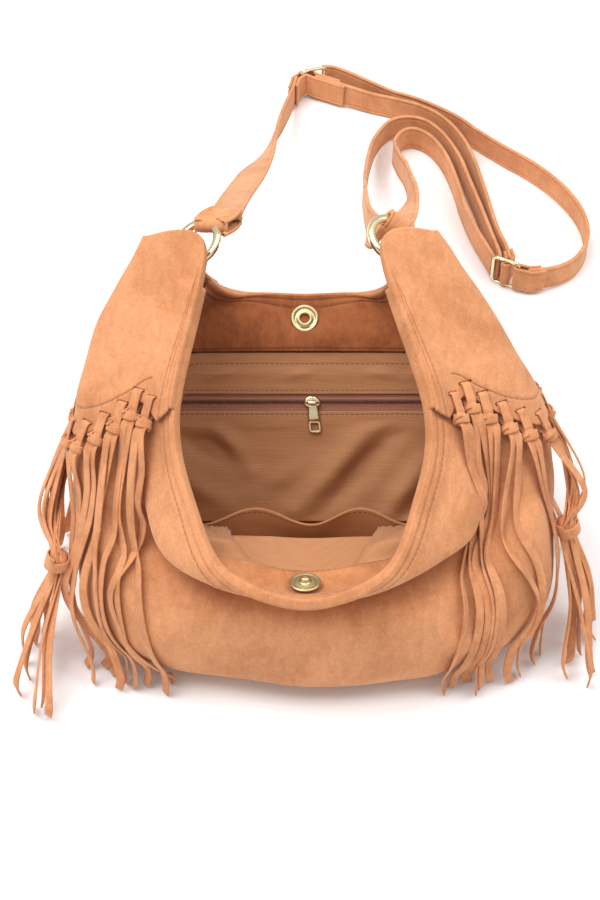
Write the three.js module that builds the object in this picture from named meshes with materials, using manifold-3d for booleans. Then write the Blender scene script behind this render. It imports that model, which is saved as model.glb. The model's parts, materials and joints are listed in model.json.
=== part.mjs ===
// A fringed suede shoulder bag, standing on its base with its mouth wide open.
// Millimetres, +Z up, +X to the bag's right as seen from the front, +Y to the rear.
// The origin is on the surface that the bag stands on, below the middle of its base.
import * as THREE from 'three';
import { mergeVertices } from 'three/addons/utils/BufferGeometryUtils.js';
import Module from 'manifold-3d';

const wasm = await Module();
wasm.setup();

// Driving dimensions
const SUEDE = 2.2; // outer suede with its stiffener
const FACING = 1.8; // suede band inside the mouth
const FACING_DEPTH = 37;
const CLOTH = 1.0; // lining cloth
const GAP = 0.3; // clearance between pieces that touch
const RING_OUTER = 33; // outside diameter of the round rings
const RING_BAND = 5;
const RING_THICK = 4;
const STRAP_WIDTH = 20;
const STRAP_THICK = 3;
const SNAP = 18; // magnetic snap diameter
const ZIP_HALF = 80; // half the length of the zip window
const LACE_WIDTH = 6.4;
const LACE_THICK = 1.3;
const LACES = 13; // on each wing
const FRONT_LACES = 6; // set closer together at the front of the wing
const LACE_ROOM = 0.62; // extra room under the laces nearest the mouth
const SLOT_DROP = 8; // from a lace slot down to the wing's lower edge
const WING_LIFT = 1.8; // how far the laced edge stands off the body
const LAYER = 1.0; // extra space between curved layers
const FACING_OFF = SUEDE + 2 * LAYER; // from the outer skin to the back of a facing

const COLOURS = {
  suede: 0xd89a66, facing: 0xc0764a, lining: 0x9c6a43, tape: 0x83523e, metal: 0xe6d9a8,
};
const FINISH = {
  suede: [0.95, 0], facing: [0.95, 0], lining: [0.7, 0], tape: [0.8, 0], metal: [0.25, 1],
};
const bag = new THREE.Group();

function add(name, geometry, kind) {
  const [roughness, metalness] = FINISH[kind];
  const material = new THREE.MeshStandardMaterial({ color: COLOURS[kind], roughness, metalness });
  const mesh = new THREE.Mesh(geometry, material);
  mesh.name = name;
  bag.add(mesh);
  return mesh;
}

const V = (x, y, z) => new THREE.Vector3(x, y, z);
const mix = (a, b, t) => a + (b - a) * t;
const ease = (t) => { const s = Math.min(Math.max(t, 0), 1); return s * s * (3 - 2 * s); };

// Catmull-Rom spline through a list of points, open or closed, at t counted in points.
function spline(points, t, closed = false) {
  const n = points.length;
  const i = closed ? Math.floor(t) : Math.min(Math.max(Math.floor(t), 0), n - 2);
  const f = t - i;
  const at = (k) => {
    if (closed) return points[((k % n) + n) % n];
    if (k < 0) return points[0].clone().multiplyScalar(2).sub(points[1]);
    if (k > n - 1) return points[n - 1].clone().multiplyScalar(2).sub(points[n - 2]);
    return points[k];
  };
  const [a, b, c, d] = [at(i - 1), at(i), at(i + 1), at(i + 2)];
  const blend = (p, q, r, s) => 0.5 * (2 * q + (r - p) * f + (2 * p - 5 * q + 4 * r - s) * f * f
    + (3 * q - 3 * r + s - p) * f * f * f);
  return V(blend(a.x, b.x, c.x, d.x), blend(a.y, b.y, c.y, d.y), blend(a.z, b.z, c.z, d.z));
}

// The outer skin is lofted through seven loops. Each loop has 18 stations: front centre,
// then round by the right side, the rear (station 9) and the left side.
// Stations 4 to 6 and 12 to 14 are the front corner, outer corner and rear corner of a wing tip.
const ANGLES = [0, 26, 50, 68, 82, 96, 112, 128, 150, 180, 210, 232, 248, 264, 278, 292, 310, 334];
const FRONT_POWER = 2.4;
const REAR_POWER = 4;

// A loop that is a rounded box: superellipse with its own depth to the front and to the rear.
function roundedLoop(right, left, front, rear, z) {
  return ANGLES.map((degrees) => {
    const s = Math.sin(THREE.MathUtils.degToRad(degrees));
    const c = Math.cos(THREE.MathUtils.degToRad(degrees));
    const power = 2 / (c > 0 ? FRONT_POWER : REAR_POWER);
    const x = Math.sign(s) * Math.abs(s) ** power * (s > 0 ? right : left);
    return V(x, -Math.sign(c) * Math.abs(c) ** power * (c > 0 ? front : rear), z);
  });
}

const loopOf = (...points) => points.map((p) => V(...p));
const BASE = roundedLoop(122, 120, 55, 52, 0);
const LOW = roundedLoop(144, 134, 70, 80, 20);
const BELLY = roundedLoop(150, 139, 70, 106, 48);
const UPPER = loopOf(
  [0, -61, 72], [60, -55, 73], [107, -35, 75], [134, -10, 84], [144, 14, 86], [150, 42, 86],
  [140, 74, 84], [128, 104, 80], [90, 125, 73], [0, 128, 72],
  [-88, 125, 73], [-122, 104, 80], [-132, 74, 84], [-138, 38, 86], [-134, 10, 86],
  [-122, -14, 84], [-95, -37, 75], [-54, -54, 73]);
const CREASE = loopOf(
  [0, -37, 80], [45, -28, 81], [82, -3, 84], [116, 8, 99], [130, 27, 112], [141, 50, 116],
  [132, 84, 111], [116, 116, 103], [86, 140, 90], [0, 143, 88],
  [-84, 140, 90], [-110, 116, 103], [-126, 82, 112], [-134, 44, 114], [-124, 19, 112],
  [-107, -3, 100], [-74, -9, 84], [-42, -28, 81]);
const SHOULDER = loopOf(
  [0, -56, 87], [56, -50, 95], [96, -20, 101], [99, 28, 127], [98, 60, 150], [113, 88, 160],
  [98, 112, 142], [82, 138, 121], [66, 152, 103], [0, 156, 98],
  [-66, 152, 103], [-82, 138, 121], [-102, 110, 142], [-119, 84, 158], [-101, 56, 150],
  [-98, 21, 127], [-85, -29, 100], [-51, -53, 95]);
const RIM = loopOf(
  [0, -72, 97], [42, -54, 107], [64, -19, 126], [72, 30, 152], [45, 115, 198], [75, 122, 202],
  [50, 129, 180], [56, 146, 146], [43, 165, 112], [0, 167, 105],
  [-43, 165, 112], [-62, 146, 146], [-62, 130, 180], [-92, 120, 200], [-59, 115, 198],
  [-76, 30, 152], [-65, -20, 125], [-42, -54, 107]);
const LOOPS = [BASE, LOW, BELLY, UPPER, CREASE, SHOULDER, RIM];
const STATIONS = ANGLES.length;
const TOP = LOOPS.length - 1;

function skin(u, v) {
  return spline(LOOPS.map((loop) => spline(loop, u, true)), v);
}
function skinFrame(u, v) {
  const e = 0.02;
  const along = skin(u + e, v).sub(skin(u - e, v)).normalize();
  const low = Math.max(v - e, 0);
  const high = Math.min(v + e, TOP);
  const rise = skin(u, high).sub(skin(u, low));
  const scale = rise.length() / (high - low);
  const up = rise.normalize();
  const out = along.clone().cross(up).normalize();
  return { along, up, out, scale };
}
const offSkin = (u, v, offset) => skin(u, v).addScaledVector(skinFrame(u, v).out, offset);
// The height parameter that lies a distance below another, measured up the skin.
function lower(u, v, distance) {
  let at = v;
  const steps = 8;
  for (let i = 0; i < steps; i += 1) at -= distance / steps / skinFrame(u, at).scale;
  return at;
}

function geometryOf(points, faces) {
  let volume = 0;
  for (const [a, b, c] of faces) {
    volume += points[a].dot(points[b].clone().cross(points[c]));
  }
  const ordered = volume > 0 ? faces : faces.map(([a, b, c]) => [a, c, b]);
  const geometry = new THREE.BufferGeometry();
  const flat = points.flatMap((p) => [p.x, p.y, p.z]);
  geometry.setAttribute('position', new THREE.Float32BufferAttribute(flat, 3));
  geometry.setIndex(ordered.flat());
  return geometry;
}

// A sheet with thickness: face(s, t) gives its outer and inner point, s and t from 0 to 1.
function sheet(across, up, face) {
  const points = [];
  const columns = across + 1;
  const half = columns * (up + 1);
  const inner = [];
  for (let j = 0; j <= up; j += 1) {
    for (let i = 0; i <= across; i += 1) {
      const [a, b] = face(i / across, j / up);
      points.push(a);
      inner.push(b);
    }
  }
  points.push(...inner);
  const faces = [];
  const quad = (a, b, c, d) => faces.push([a, b, c], [a, c, d]);
  for (let j = 0; j < up; j += 1) {
    for (let i = 0; i < across; i += 1) {
      const a = j * columns + i;
      quad(a, a + 1, a + columns + 1, a + columns);
      quad(a + half, a + half + columns, a + half + columns + 1, a + half + 1);
    }
  }
  for (let i = 0; i < across; i += 1) {
    const a = up * columns + i;
    quad(i + 1, i, i + half, i + 1 + half);
    quad(a, a + 1, a + 1 + half, a + half);
  }
  for (let j = 0; j < up; j += 1) {
    const a = j * columns;
    const b = a + across;
    quad(a, a + columns, a + columns + half, a + half);
    quad(b + columns, b, b + half, b + columns + half);
  }
  return geometryOf(points, faces);
}

// A flat strip along a path: sides(t) gives the direction of its width at each point.
function strip(path, sides, width, thick) {
  const points = [];
  const faces = [];
  const quad = (a, b, c, d) => faces.push([a, b, c], [a, c, d]);
  path.forEach((p, k) => {
    const before = path[Math.max(k - 1, 0)];
    const after = path[Math.min(k + 1, path.length - 1)];
    const run = after.clone().sub(before).normalize();
    const side = sides[k].clone().addScaledVector(run, -sides[k].dot(run)).normalize();
    const face = run.clone().cross(side);
    for (const [i, j] of [[-1, -1], [1, -1], [1, 1], [-1, 1]]) {
      points.push(p.clone().addScaledVector(side, i * width / 2).addScaledVector(face, j * thick / 2));
    }
  });
  for (let k = 0; k < path.length - 1; k += 1) {
    for (let i = 0; i < 4; i += 1) {
      const j = (i + 1) % 4;
      quad(4 * k + i, 4 * k + j, 4 * k + 4 + j, 4 * k + 4 + i);
    }
  }
  const end = 4 * (path.length - 1);
  quad(3, 2, 1, 0);
  quad(end, end + 1, end + 2, end + 3);
  return geometryOf(points, faces);
}

function toSolid(geometry) {
  const copy = geometry.clone();
  copy.deleteAttribute('normal');
  copy.deleteAttribute('uv');
  const merged = mergeVertices(copy, 1e-4);
  return new wasm.Manifold(new wasm.Mesh({
    numProp: 3,
    vertProperties: Float32Array.from(merged.attributes.position.array),
    triVerts: Uint32Array.from(merged.index.array),
  }));
}
function fromSolid(solid) {
  const mesh = solid.getMesh();
  const geometry = new THREE.BufferGeometry();
  geometry.setAttribute('position', new THREE.Float32BufferAttribute(mesh.vertProperties, 3));
  geometry.setIndex(Array.from(mesh.triVerts));
  return geometry;
}
const largest = (solid) => solid.decompose().sort((a, b) => b.volume() - a.volume())[0];
function join(...geometries) {
  return fromSolid(geometries.map(toSolid).reduce((a, b) => a.add(b)));
}

// Where the wings' lower edges run on the skin, as a height at each station.
const EDGE_RIGHT = [[2.95, 5.75], [3.3, 5.3], [3.8, 4.72], [4.4, 4.25], [5, 4.05], [5.8, 4.15], [6.5, 4.5],
  [7.1, 5.0], [7.55, 5.7]];
const EDGE_LEFT = [[15.05, 5.75], [14.7, 5.3], [14.2, 4.72], [13.6, 4.25], [13, 4.05], [12.2, 4.15],
  [11.5, 4.5], [10.9, 5.0], [10.45, 5.7]];
function edgePoint(edge, t) {
  const p = spline(edge.map(([u, v]) => V(u, v, 0)), t * (edge.length - 1));
  return [p.x, p.y];
}
function edgeHeight(edge, u) {
  const rising = edge[0][0] < edge[edge.length - 1][0];
  let [low, high] = [0, 1];
  for (let i = 0; i < 30; i += 1) {
    const middle = (low + high) / 2;
    const below = edgePoint(edge, middle)[0] < u;
    if (below === rising) low = middle; else high = middle;
  }
  return edgePoint(edge, low)[1];
}
function wingFloor(station) {
  const u = (station + STATIONS) % STATIONS;
  if (u > EDGE_RIGHT[0][0] && u < EDGE_RIGHT[8][0]) return edgeHeight(EDGE_RIGHT, u);
  if (u > EDGE_LEFT[8][0] && u < EDGE_LEFT[0][0]) return edgeHeight(EDGE_LEFT, u);
  return TOP;
}

// Outer body: front and rear panels, meeting at the side seams, and the base they stand on.
const SEAM_RIGHT = 5;
const SEAM_LEFT = 13;
const SEAM_GAP = 0.03; // in stations, about half a millimetre
function bodyWithWingCut(from, to, across) {
  return sheet(across, 11, (s, t) => {
    const u = mix(from, to, s);
    const v = Math.min(wingFloor(u) + 0.3, TOP) * t;
    return [skin(u, v), offSkin(u, v, -SUEDE)];
  });
}
add('body_front', bodyWithWingCut(SEAM_LEFT + SEAM_GAP - STATIONS, SEAM_RIGHT - SEAM_GAP, 32), 'suede');
add('body_rear', bodyWithWingCut(SEAM_RIGHT + SEAM_GAP, SEAM_LEFT - SEAM_GAP, 20), 'suede');

const baseShape = new THREE.Shape();
for (let k = 0; k < 3 * STATIONS; k += 1) {
  const u = k / 3;
  const p = offSkin(u, 0, -SUEDE);
  const inset = V(p.x, p.y, 0).setLength(GAP * 2.5);
  const [x, y] = [p.x - inset.x, p.y - inset.y];
  if (k === 0) baseShape.moveTo(x, y); else baseShape.lineTo(x, y);
}
baseShape.closePath();
const BASE_THICK = 2;
const base = new THREE.ExtrudeGeometry(baseShape, { depth: BASE_THICK, bevelEnabled: false });
add('base_panel', base, 'suede');

// Wings: the outer suede panel with its laced edge, and the backing inside it.
function wingSheet(edge, outer, inner, lift, from, across, up) {
  const count = edge.length - 1;
  return sheet(across, up, (s, t) => {
    const [u, v0] = edgePoint(edge, mix(0.01, 0.99, s));
    const v = mix(Math.min(v0 + from, TOP - 0.04 * count / 8), TOP, t);
    const raised = lift * (1 - ease((v - v0) / 0.9));
    return [offSkin(u, v, outer + raised), offSkin(u, v, inner + raised)];
  });
}
// Round rings. Each wing's tip is folded through its ring, with room for the ring to turn.
const RINGS = {
  left: { centre: V(-64.2, 131.2, 186), normal: V(-0.47, -0.173, 0.865).normalize() },
  right: { centre: V(51.6, 134.7, 186), normal: V(0.47, -0.173, 0.865).normalize() },
};
const RING_MID = (RING_OUTER - RING_BAND) / 2;
const RING_SIDES = 20;
const RING_ROOM = 0.5;
function ringGeometry(side, room, facets) {
  const [b, h] = [RING_BAND / 2 + room, RING_THICK / 2 + room];
  const c = 1.2;
  const section = [[-b, -h + c], [-b + c, -h], [b - c, -h], [b, -h + c], [b, h - c], [b - c, h],
    [-b + c, h], [-b, h - c], [-b, -h + c]];
  const ring = new THREE.LatheGeometry(section.map(([r, y]) => new THREE.Vector2(RING_MID + r, y)), facets);
  const { centre, normal } = RINGS[side];
  ring.applyQuaternion(new THREE.Quaternion().setFromUnitVectors(V(0, 1, 0), normal));
  return ring.translate(centre.x, centre.y, centre.z);
}
for (const side of Object.keys(RINGS)) add(`ring_${side}`, ringGeometry(side, 0, RING_SIDES), 'metal');

const SIDES = [['right', EDGE_RIGHT], ['left', EDGE_LEFT]];
// Walks over the skin from a station and height along a direction given in millimetres.
function walk(u, v, step) {
  const hops = 6;
  const e = 0.01;
  let [a, b] = [u, v];
  for (let i = 0; i < hops; i += 1) {
    const pu = skin(a + e, b).sub(skin(a - e, b)).divideScalar(2 * e);
    const pv = skin(a, b + e).sub(skin(a, b - e)).divideScalar(2 * e);
    const [uu, vv, uv] = [pu.dot(pu), pv.dot(pv), pu.dot(pv)];
    const [su, sv] = [step.dot(pu) / hops, step.dot(pv) / hops];
    const size = uu * vv - uv * uv;
    a += (su * vv - sv * uv) / size;
    b += (sv * uu - su * uv) / size;
  }
  return [a, b];
}
// The parameter of a curve at a fraction of its length.
function evenly(curve, fraction) {
  const steps = 100;
  const sums = [0];
  for (let i = 1; i <= steps; i += 1) {
    sums.push(sums[i - 1] + curve(i / steps).distanceTo(curve((i - 1) / steps)));
  }
  const wanted = fraction * sums[steps];
  const i = sums.findIndex((sum) => sum > wanted);
  return (i - 1 + (wanted - sums[i - 1]) / (sums[i] - sums[i - 1])) / steps;
}
// The way a lace hangs at its slot, from the first by the mouth to the last at the rear, on the right side.
const HANG = loopOf(
  [0.15, -0.75, -0.65], [0.25, -0.55, -0.8], [0.2, -0.15, -1], [0.1, 0, -1], [0, 0.15, -1]);
// The frame of a lace: along the wing's edge, down across it, and out from the skin.
function laceFrame(edge, k) {
  const share = k < FRONT_LACES ? mix(0.05, 0.35, k / (FRONT_LACES - 1))
    : mix(0.35, 0.94, (k - FRONT_LACES + 1) / (LACES - FRONT_LACES));
  const t = evenly((at) => skin(...edgePoint(edge, at)), share);
  const [u, v] = edgePoint(edge, t);
  const { out } = skinFrame(u, v);
  const down = spline(HANG, share * (HANG.length - 1));
  if (edge === EDGE_LEFT) down.x = -down.x;
  down.addScaledVector(out, -down.dot(out)).normalize();
  const room = mix(LACE_ROOM, 0, ease(k / 5));
  const at = skin(...walk(u, v, down.clone().multiplyScalar(-SLOT_DROP))).addScaledVector(out, room);
  const along = down.clone().cross(out).normalize();
  const place = (drop, off, sideways = 0) => at.clone().addScaledVector(down, drop)
    .addScaledVector(out, off).addScaledVector(along, sideways);
  return { u, v, along, down, out, place };
}
for (const [side, edge] of SIDES) {
  let wing = toSolid(wingSheet(edge, SUEDE + LAYER, LAYER, WING_LIFT, 0, 20, 7));
  for (let k = 0; k < LACES; k += 1) {
    const { along, down, out, place } = laceFrame(edge, k);
    const slot = new THREE.BoxGeometry(LACE_WIDTH + 1.6, LACE_THICK + 1.6, 12);
    slot.applyMatrix4(new THREE.Matrix4().makeBasis(along, out.clone().cross(along), out));
    const centre = place(0, WING_LIFT);
    slot.translate(centre.x, centre.y, centre.z);
    wing = wing.subtract(toSolid(slot));
  }
  const ringRoom = toSolid(ringGeometry(side, RING_ROOM, RING_SIDES));
  wing = largest(wing.subtract(ringRoom));
  add(`wing_${side}`, fromSolid(wing), 'suede');
  const backing = toSolid(wingSheet(edge, 0, -SUEDE, 0, 0.5, 14, 5)).subtract(ringRoom);
  add(`wing_backing_${side}`, fromSolid(largest(backing)), 'facing');
}

// Suede facings inside the mouth, front and rear.
function facing(from, to, across) {
  return sheet(across, 6, (s, t) => {
    const u = mix(from, to, s);
    const depth = mix(12, FACING_DEPTH, ease(Math.min(s, 1 - s) * 5));
    const v = mix(lower(u, TOP, depth), TOP, t);
    return [offSkin(u, v, -FACING_OFF), offSkin(u, v, -FACING_OFF - FACING)];
  });
}
add('facing_front', facing(-2.7, 2.7, 20), 'facing');
add('facing_rear', facing(7.75, 10.25, 10), 'facing');

// Lining: a loose cloth bag. Its rear side is flat behind the zip, and its front side leans
// into the bag below the lip.
const LINING_OFF = -FACING_OFF - FACING - GAP - LAYER;
const REAR_PLANE = 45; // y minus z of the flat part of the rear lining
const FRONT_FOLD = [[20, 8], [19, 30], [17, 48], [13, 60], [-2, 70], [-20, 80], [-32, 88], [-40, 96]];
function frontLean(z) {
  for (let i = 1; i < FRONT_FOLD.length; i += 1) {
    const [y0, z0] = FRONT_FOLD[i - 1];
    const [y1, z1] = FRONT_FOLD[i];
    if (z < z1) return mix(y0, y1, (z - z0) / (z1 - z0));
  }
  return FRONT_FOLD[FRONT_FOLD.length - 1][0];
}
const LINING_FLOOR = 0.3; // as a height on the skin
const CLOTH_SIDE_GAP = 0.09; // in stations, where the two linings are sewn together
function liningTop(u) {
  const station = (u + STATIONS) % STATIONS;
  const rear = station > 7.7 && station < 10.3;
  const front = station < 2.75 || station > 15.25;
  if (rear || front) return lower(u, TOP, FACING_DEPTH + 4.6);
  return 4.3;
}
function liningSheet(from, to, across, lean) {
  const tops = [];
  for (let i = 0; i <= across; i += 1) tops.push(liningTop(mix(from, to, i / across)));
  const smooth = tops.map((value, i) => {
    const around = [-2, -1, 0, 1, 2].map((k) => tops[Math.min(Math.max(i + k, 0), across)]);
    return around.reduce((a, b) => a + b) / around.length;
  });
  return sheet(across, 7, (s, t) => {
    const u = mix(from, to, s);
    const v = mix(LINING_FLOOR, smooth[Math.round(s * across)], t);
    const off = LINING_OFF - 4.8 * ease(v - 3);
    return [lean(offSkin(u, v, off), 0), lean(offSkin(u, v, off - CLOTH), CLOTH)];
  });
}
function leanFront(p, depth) {
  const share = 1 - ease((Math.abs(p.x) - 85) / 40);
  const y = Math.max(frontLean(p.z) + depth, p.y);
  return V(p.x, mix(p.y, y, share), Math.max(p.z, 6));
}
// Where the cloth lies a few millimetres in front of the flat part, it is drawn back to it.
function leanRear(p, depth) {
  const plane = p.z + REAR_PLANE - depth * Math.SQRT2;
  const share = (1 - ease((Math.abs(p.x) - 84) / 10)) * (1 - ease((plane - p.y - 5) / 3));
  return V(p.x, p.y < plane ? mix(p.y, plane, share) : plane, Math.max(p.z, 6));
}
add('lining_front', liningSheet(-5 + CLOTH_SIDE_GAP, 5 - CLOTH_SIDE_GAP, 26, leanFront), 'lining');

// The zip lies in the flat part of the rear lining, along X. ALONG, SLOPE and OUTWARD are its axes.
const ZIP_Z = 66;
const ALONG = V(1, 0, 0);
const SLOPE = V(0, Math.SQRT1_2, Math.SQRT1_2);
const OUTWARD = V(0, -Math.SQRT1_2, Math.SQRT1_2);
const WINDOW_HALF = 5;
const onZip = (x, up, out) => V(0, ZIP_Z + REAR_PLANE, ZIP_Z).addScaledVector(ALONG, x)
  .addScaledVector(SLOPE, up).addScaledVector(OUTWARD, out);
function zipBox(x0, x1, up0, up1, out0, out1) {
  const box = new THREE.BoxGeometry(x1 - x0, up1 - up0, out1 - out0);
  box.applyMatrix4(new THREE.Matrix4().makeBasis(ALONG, SLOPE, OUTWARD));
  const centre = onZip((x0 + x1) / 2, (up0 + up1) / 2, (out0 + out1) / 2);
  return box.translate(centre.x, centre.y, centre.z);
}
const rearCloth = toSolid(liningSheet(5 + CLOTH_SIDE_GAP, 13 - CLOTH_SIDE_GAP, 20, leanRear));
const windowCut = toSolid(zipBox(-ZIP_HALF, ZIP_HALF, -WINDOW_HALF, WINDOW_HALF, -8, 8));
add('lining_rear', fromSolid(rearCloth.subtract(windowCut)), 'lining');

const TAPE_GAP = 1.2; // half the space between the tapes, where the slider's post runs
const TAPE_THICK = 1.0;
const TAPE_WIDTH = 9;
const tapeOut = -GAP - TAPE_THICK;
add('zip_tape_upper', zipBox(-ZIP_HALF, ZIP_HALF, TAPE_GAP, TAPE_WIDTH, tapeOut, -GAP), 'tape');
add('zip_tape_lower', zipBox(-ZIP_HALF, ZIP_HALF, -TAPE_WIDTH, -TAPE_GAP, tapeOut, -GAP), 'tape');
const POUCH_DEEP = 48;
add('zip_pocket_pouch', zipBox(-66, 66, -POUCH_DEEP, -TAPE_WIDTH - 1, tapeOut - 0.2, -GAP), 'lining');

// Slider: two plates and the post between them, with a bail that the pull hangs on.
const SLIDER_X = 5;
const SLIDER_HALF = 4.5;
const SLIDER_WIDE = 3.8;
const PLATE = 1.1;
const BAIL_OUT = 4.6; // height of the bail's axis above the tapes' faces
const top0 = GAP;
const under1 = tapeOut - GAP;
const slider = join(
  zipBox(SLIDER_X - SLIDER_HALF, SLIDER_X + SLIDER_HALF, -SLIDER_WIDE, SLIDER_WIDE, top0, top0 + PLATE),
  zipBox(SLIDER_X - SLIDER_HALF, SLIDER_X + SLIDER_HALF, -SLIDER_WIDE, SLIDER_WIDE, under1 - PLATE, under1),
  zipBox(SLIDER_X - 1.5, SLIDER_X + 1.5, -0.8, 0.8, under1 - 0.2, top0 + 0.2),
  zipBox(SLIDER_X - 4, SLIDER_X - 2.9, -0.6, 0.6, top0 + PLATE - 0.2, BAIL_OUT + 0.6),
  zipBox(SLIDER_X + 2.9, SLIDER_X + 4, -0.6, 0.6, top0 + PLATE - 0.2, BAIL_OUT + 0.6),
  zipBox(SLIDER_X - 4, SLIDER_X + 4, -0.6, 0.6, BAIL_OUT - 0.6, BAIL_OUT + 0.6));
add('zip_slider', slider, 'metal');

// Pull: a sleeve curled round the bail and a tapered plate with a window at its end.
const PULL_LONG = 21;
const PULL_THICK = 1;
const SLEEVE_OUTER = 1.9;
const SLEEVE_INNER = 1.15;
const SLEEVE_HALF = 1.8;
const PULL_LEAN = THREE.MathUtils.degToRad(8); // the pull lies back on the lining
const ends = [[-2.2, -1.5], [-2.6, -3], [-3.6, 2.8 - PULL_LONG], [-2.8, 2 - PULL_LONG], [2.8, 2 - PULL_LONG],
  [3.6, 2.8 - PULL_LONG], [2.6, -3], [2.2, -1.5]];
const pullShape = new THREE.Shape(ends.map((p) => new THREE.Vector2(...p)));
const windowCorners = [[-2.2, 3.4], [-2.2, 7.6], [2.2, 7.6], [2.2, 3.4]];
pullShape.holes.push(new THREE.Path(windowCorners.map(([x, y]) => new THREE.Vector2(x, y - PULL_LONG))));
const plate = new THREE.ExtrudeGeometry(pullShape, { depth: PULL_THICK, bevelEnabled: false });
plate.translate(0, 0, -PULL_THICK / 2);
const sleeveProfile = [[SLEEVE_INNER, -SLEEVE_HALF], [SLEEVE_OUTER, -SLEEVE_HALF],
  [SLEEVE_OUTER, SLEEVE_HALF], [SLEEVE_INNER, SLEEVE_HALF], [SLEEVE_INNER, -SLEEVE_HALF]];
const sleeve = new THREE.LatheGeometry(sleeveProfile.map((p) => new THREE.Vector2(...p)), 12);
sleeve.rotateZ(Math.PI / 2);
const pull = join(plate, sleeve);
pull.rotateX(PULL_LEAN);
pull.applyMatrix4(new THREE.Matrix4().makeBasis(ALONG, SLOPE, OUTWARD));
const bailAxis = onZip(SLIDER_X, 0, BAIL_OUT);
pull.translate(bailAxis.x, bailAxis.y, bailAxis.z);
add('zip_pull', pull, 'metal');

// Double slip pocket on the front lining: a cloth panel that gapes on both sides of its middle seam.
const POCKET_HALF = 64;
const POCKET_FLOOR = 16;
add('slip_pocket', sheet(16, 4, (s, t) => {
  const x = mix(-POCKET_HALF, POCKET_HALF, s);
  const gape = Math.sin(Math.PI * x / POCKET_HALF) ** 2;
  const z = mix(POCKET_FLOOR, 59 + 3 * gape, t);
  const y = frontLean(z) + CLOTH + 1.6 + 8 * gape * t * t;
  return [V(x, y, z), V(x, y + CLOTH, z)];
}), 'lining');

// Magnetic snap: one half on each facing, each with a backing plate behind the facing.
function disc(profile, u, v, offset) {
  const { out } = skinFrame(u, v);
  const lathe = new THREE.LatheGeometry(profile.map(([r, h]) => new THREE.Vector2(r, h)), 16);
  const turn = new THREE.Quaternion().setFromUnitVectors(V(0, 1, 0), out.clone().negate());
  lathe.applyQuaternion(turn);
  const at = offSkin(u, v, offset);
  return lathe.translate(at.x, at.y, at.z);
}
const SNAP_R = SNAP / 2;
const male = [[0, 0], [SNAP_R, 0], [SNAP_R, 0.9], [SNAP_R - 0.7, 1.5], [2.9, 1.5], [2.5, 3.9],
  [1.8, 4.5], [0, 4.5]];
const female = [[0, 0], [SNAP_R, 0], [SNAP_R, 2.6], [SNAP_R - 0.8, 3.4], [3.4, 3.4], [2.9, 3.0],
  [2.9, 1.0], [0, 1.0]];
const WASHER_R = 5;
const backing = [[0, 0], [WASHER_R, 0], [WASHER_R, 0.5], [0, 0.5]];
const FACING_IN = -FACING_OFF - FACING;
const frontSnapV = lower(0, TOP, 21);
const rearSnapV = lower(9, TOP, 15.5);
add('snap_front', disc(male, 0, frontSnapV, FACING_IN - 2.4), 'metal');
add('snap_rear', disc(female, 9, rearSnapV, FACING_IN - 0.9), 'metal');
add('snap_plate_front', disc(backing, 0, frontSnapV, -SUEDE - 0.9), 'metal');
add('snap_plate_rear', disc(backing, 9, rearSnapV, -SUEDE - 0.8), 'metal');

// Straps: the route of each strap's middle line. On the table they stand on edge.
const ROUTES = {
  strap_left: [[-48, 146, 192], [-47, 166, 180], [-44, 218, 145], [-37, 285, 103], [-29, 350, 66],
    [-22, 408, 38], [-15, 452, 21], [-9, 482, 14], [-6, 497.5, 13]],
  strap_link: [[9.5, 499, 13], [20, 494, 13], [36, 487, 12], [54, 479.5, 11], [70, 474, 11],
    [90, 466, 11], [107, 453, 11], [120, 433, 11], [129, 407, 11], [136, 367, 11], [142, 325, 12],
    [147, 304, 13], [149.5, 289.5, 13]],
  strap_loop: [[14.5, 512, 13], [25, 510.5, 13], [39, 503.5, 12], [54, 494, 11], [70, 483, 11],
    [88, 474.5, 11], [106, 463, 11], [122, 450, 11], [136, 434, 11], [154, 416, 11], [173, 399, 11],
    [190, 379, 11], [202, 358, 11], [208, 339, 11], [209, 321, 11], [205, 305, 11], [196, 291, 11],
    [183, 282, 12], [170, 278, 13], [161.5, 277, 13]],
  strap_outer: [[142.5, 293, 13], [137, 321, 12], [131, 352, 11], [125, 379, 11], [120, 402, 11],
    [113, 421, 11], [105, 436, 11], [95, 447, 11], [83, 451, 11], [72, 449, 11], [63, 440, 12],
    [55, 423, 14], [50, 398, 22], [46, 361, 38], [43, 313, 64], [42, 255, 100], [42, 196, 140],
    [44, 153, 172], [46, 144, 179]],
  strap_inner: [[135.5, 296.5, 13], [126, 325, 12], [120, 351, 11], [115, 381, 11], [109, 406, 11],
    [101, 424, 11], [92, 434, 11], [83, 437, 11], [75, 432, 11], [70, 418, 13], [72, 388, 26],
    [75, 347, 50], [74, 290, 84], [66, 226, 126], [58, 172, 166], [55.5, 154, 181]],
};
const LAID = 16; // below this height a strap stands on edge
const TURNED = 80; // above this height it lies across, face up
const STRAP_STEPS = 1.5; // steps between route points
for (const [name, route] of Object.entries(ROUTES)) {
  const points = route.map((p) => V(...p));
  const count = Math.round((points.length - 1) * STRAP_STEPS);
  const path = [];
  const sides = [];
  for (let i = 0; i <= count; i += 1) {
    const p = spline(points, i / count * (points.length - 1));
    const angle = ease((p.z - LAID) / (TURNED - LAID)) * Math.PI / 2;
    path.push(p);
    sides.push(V(Math.sin(angle), 0, Math.cos(angle)));
  }
  add(name, strip(path, sides, STRAP_WIDTH, STRAP_THICK), 'suede');
}

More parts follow.
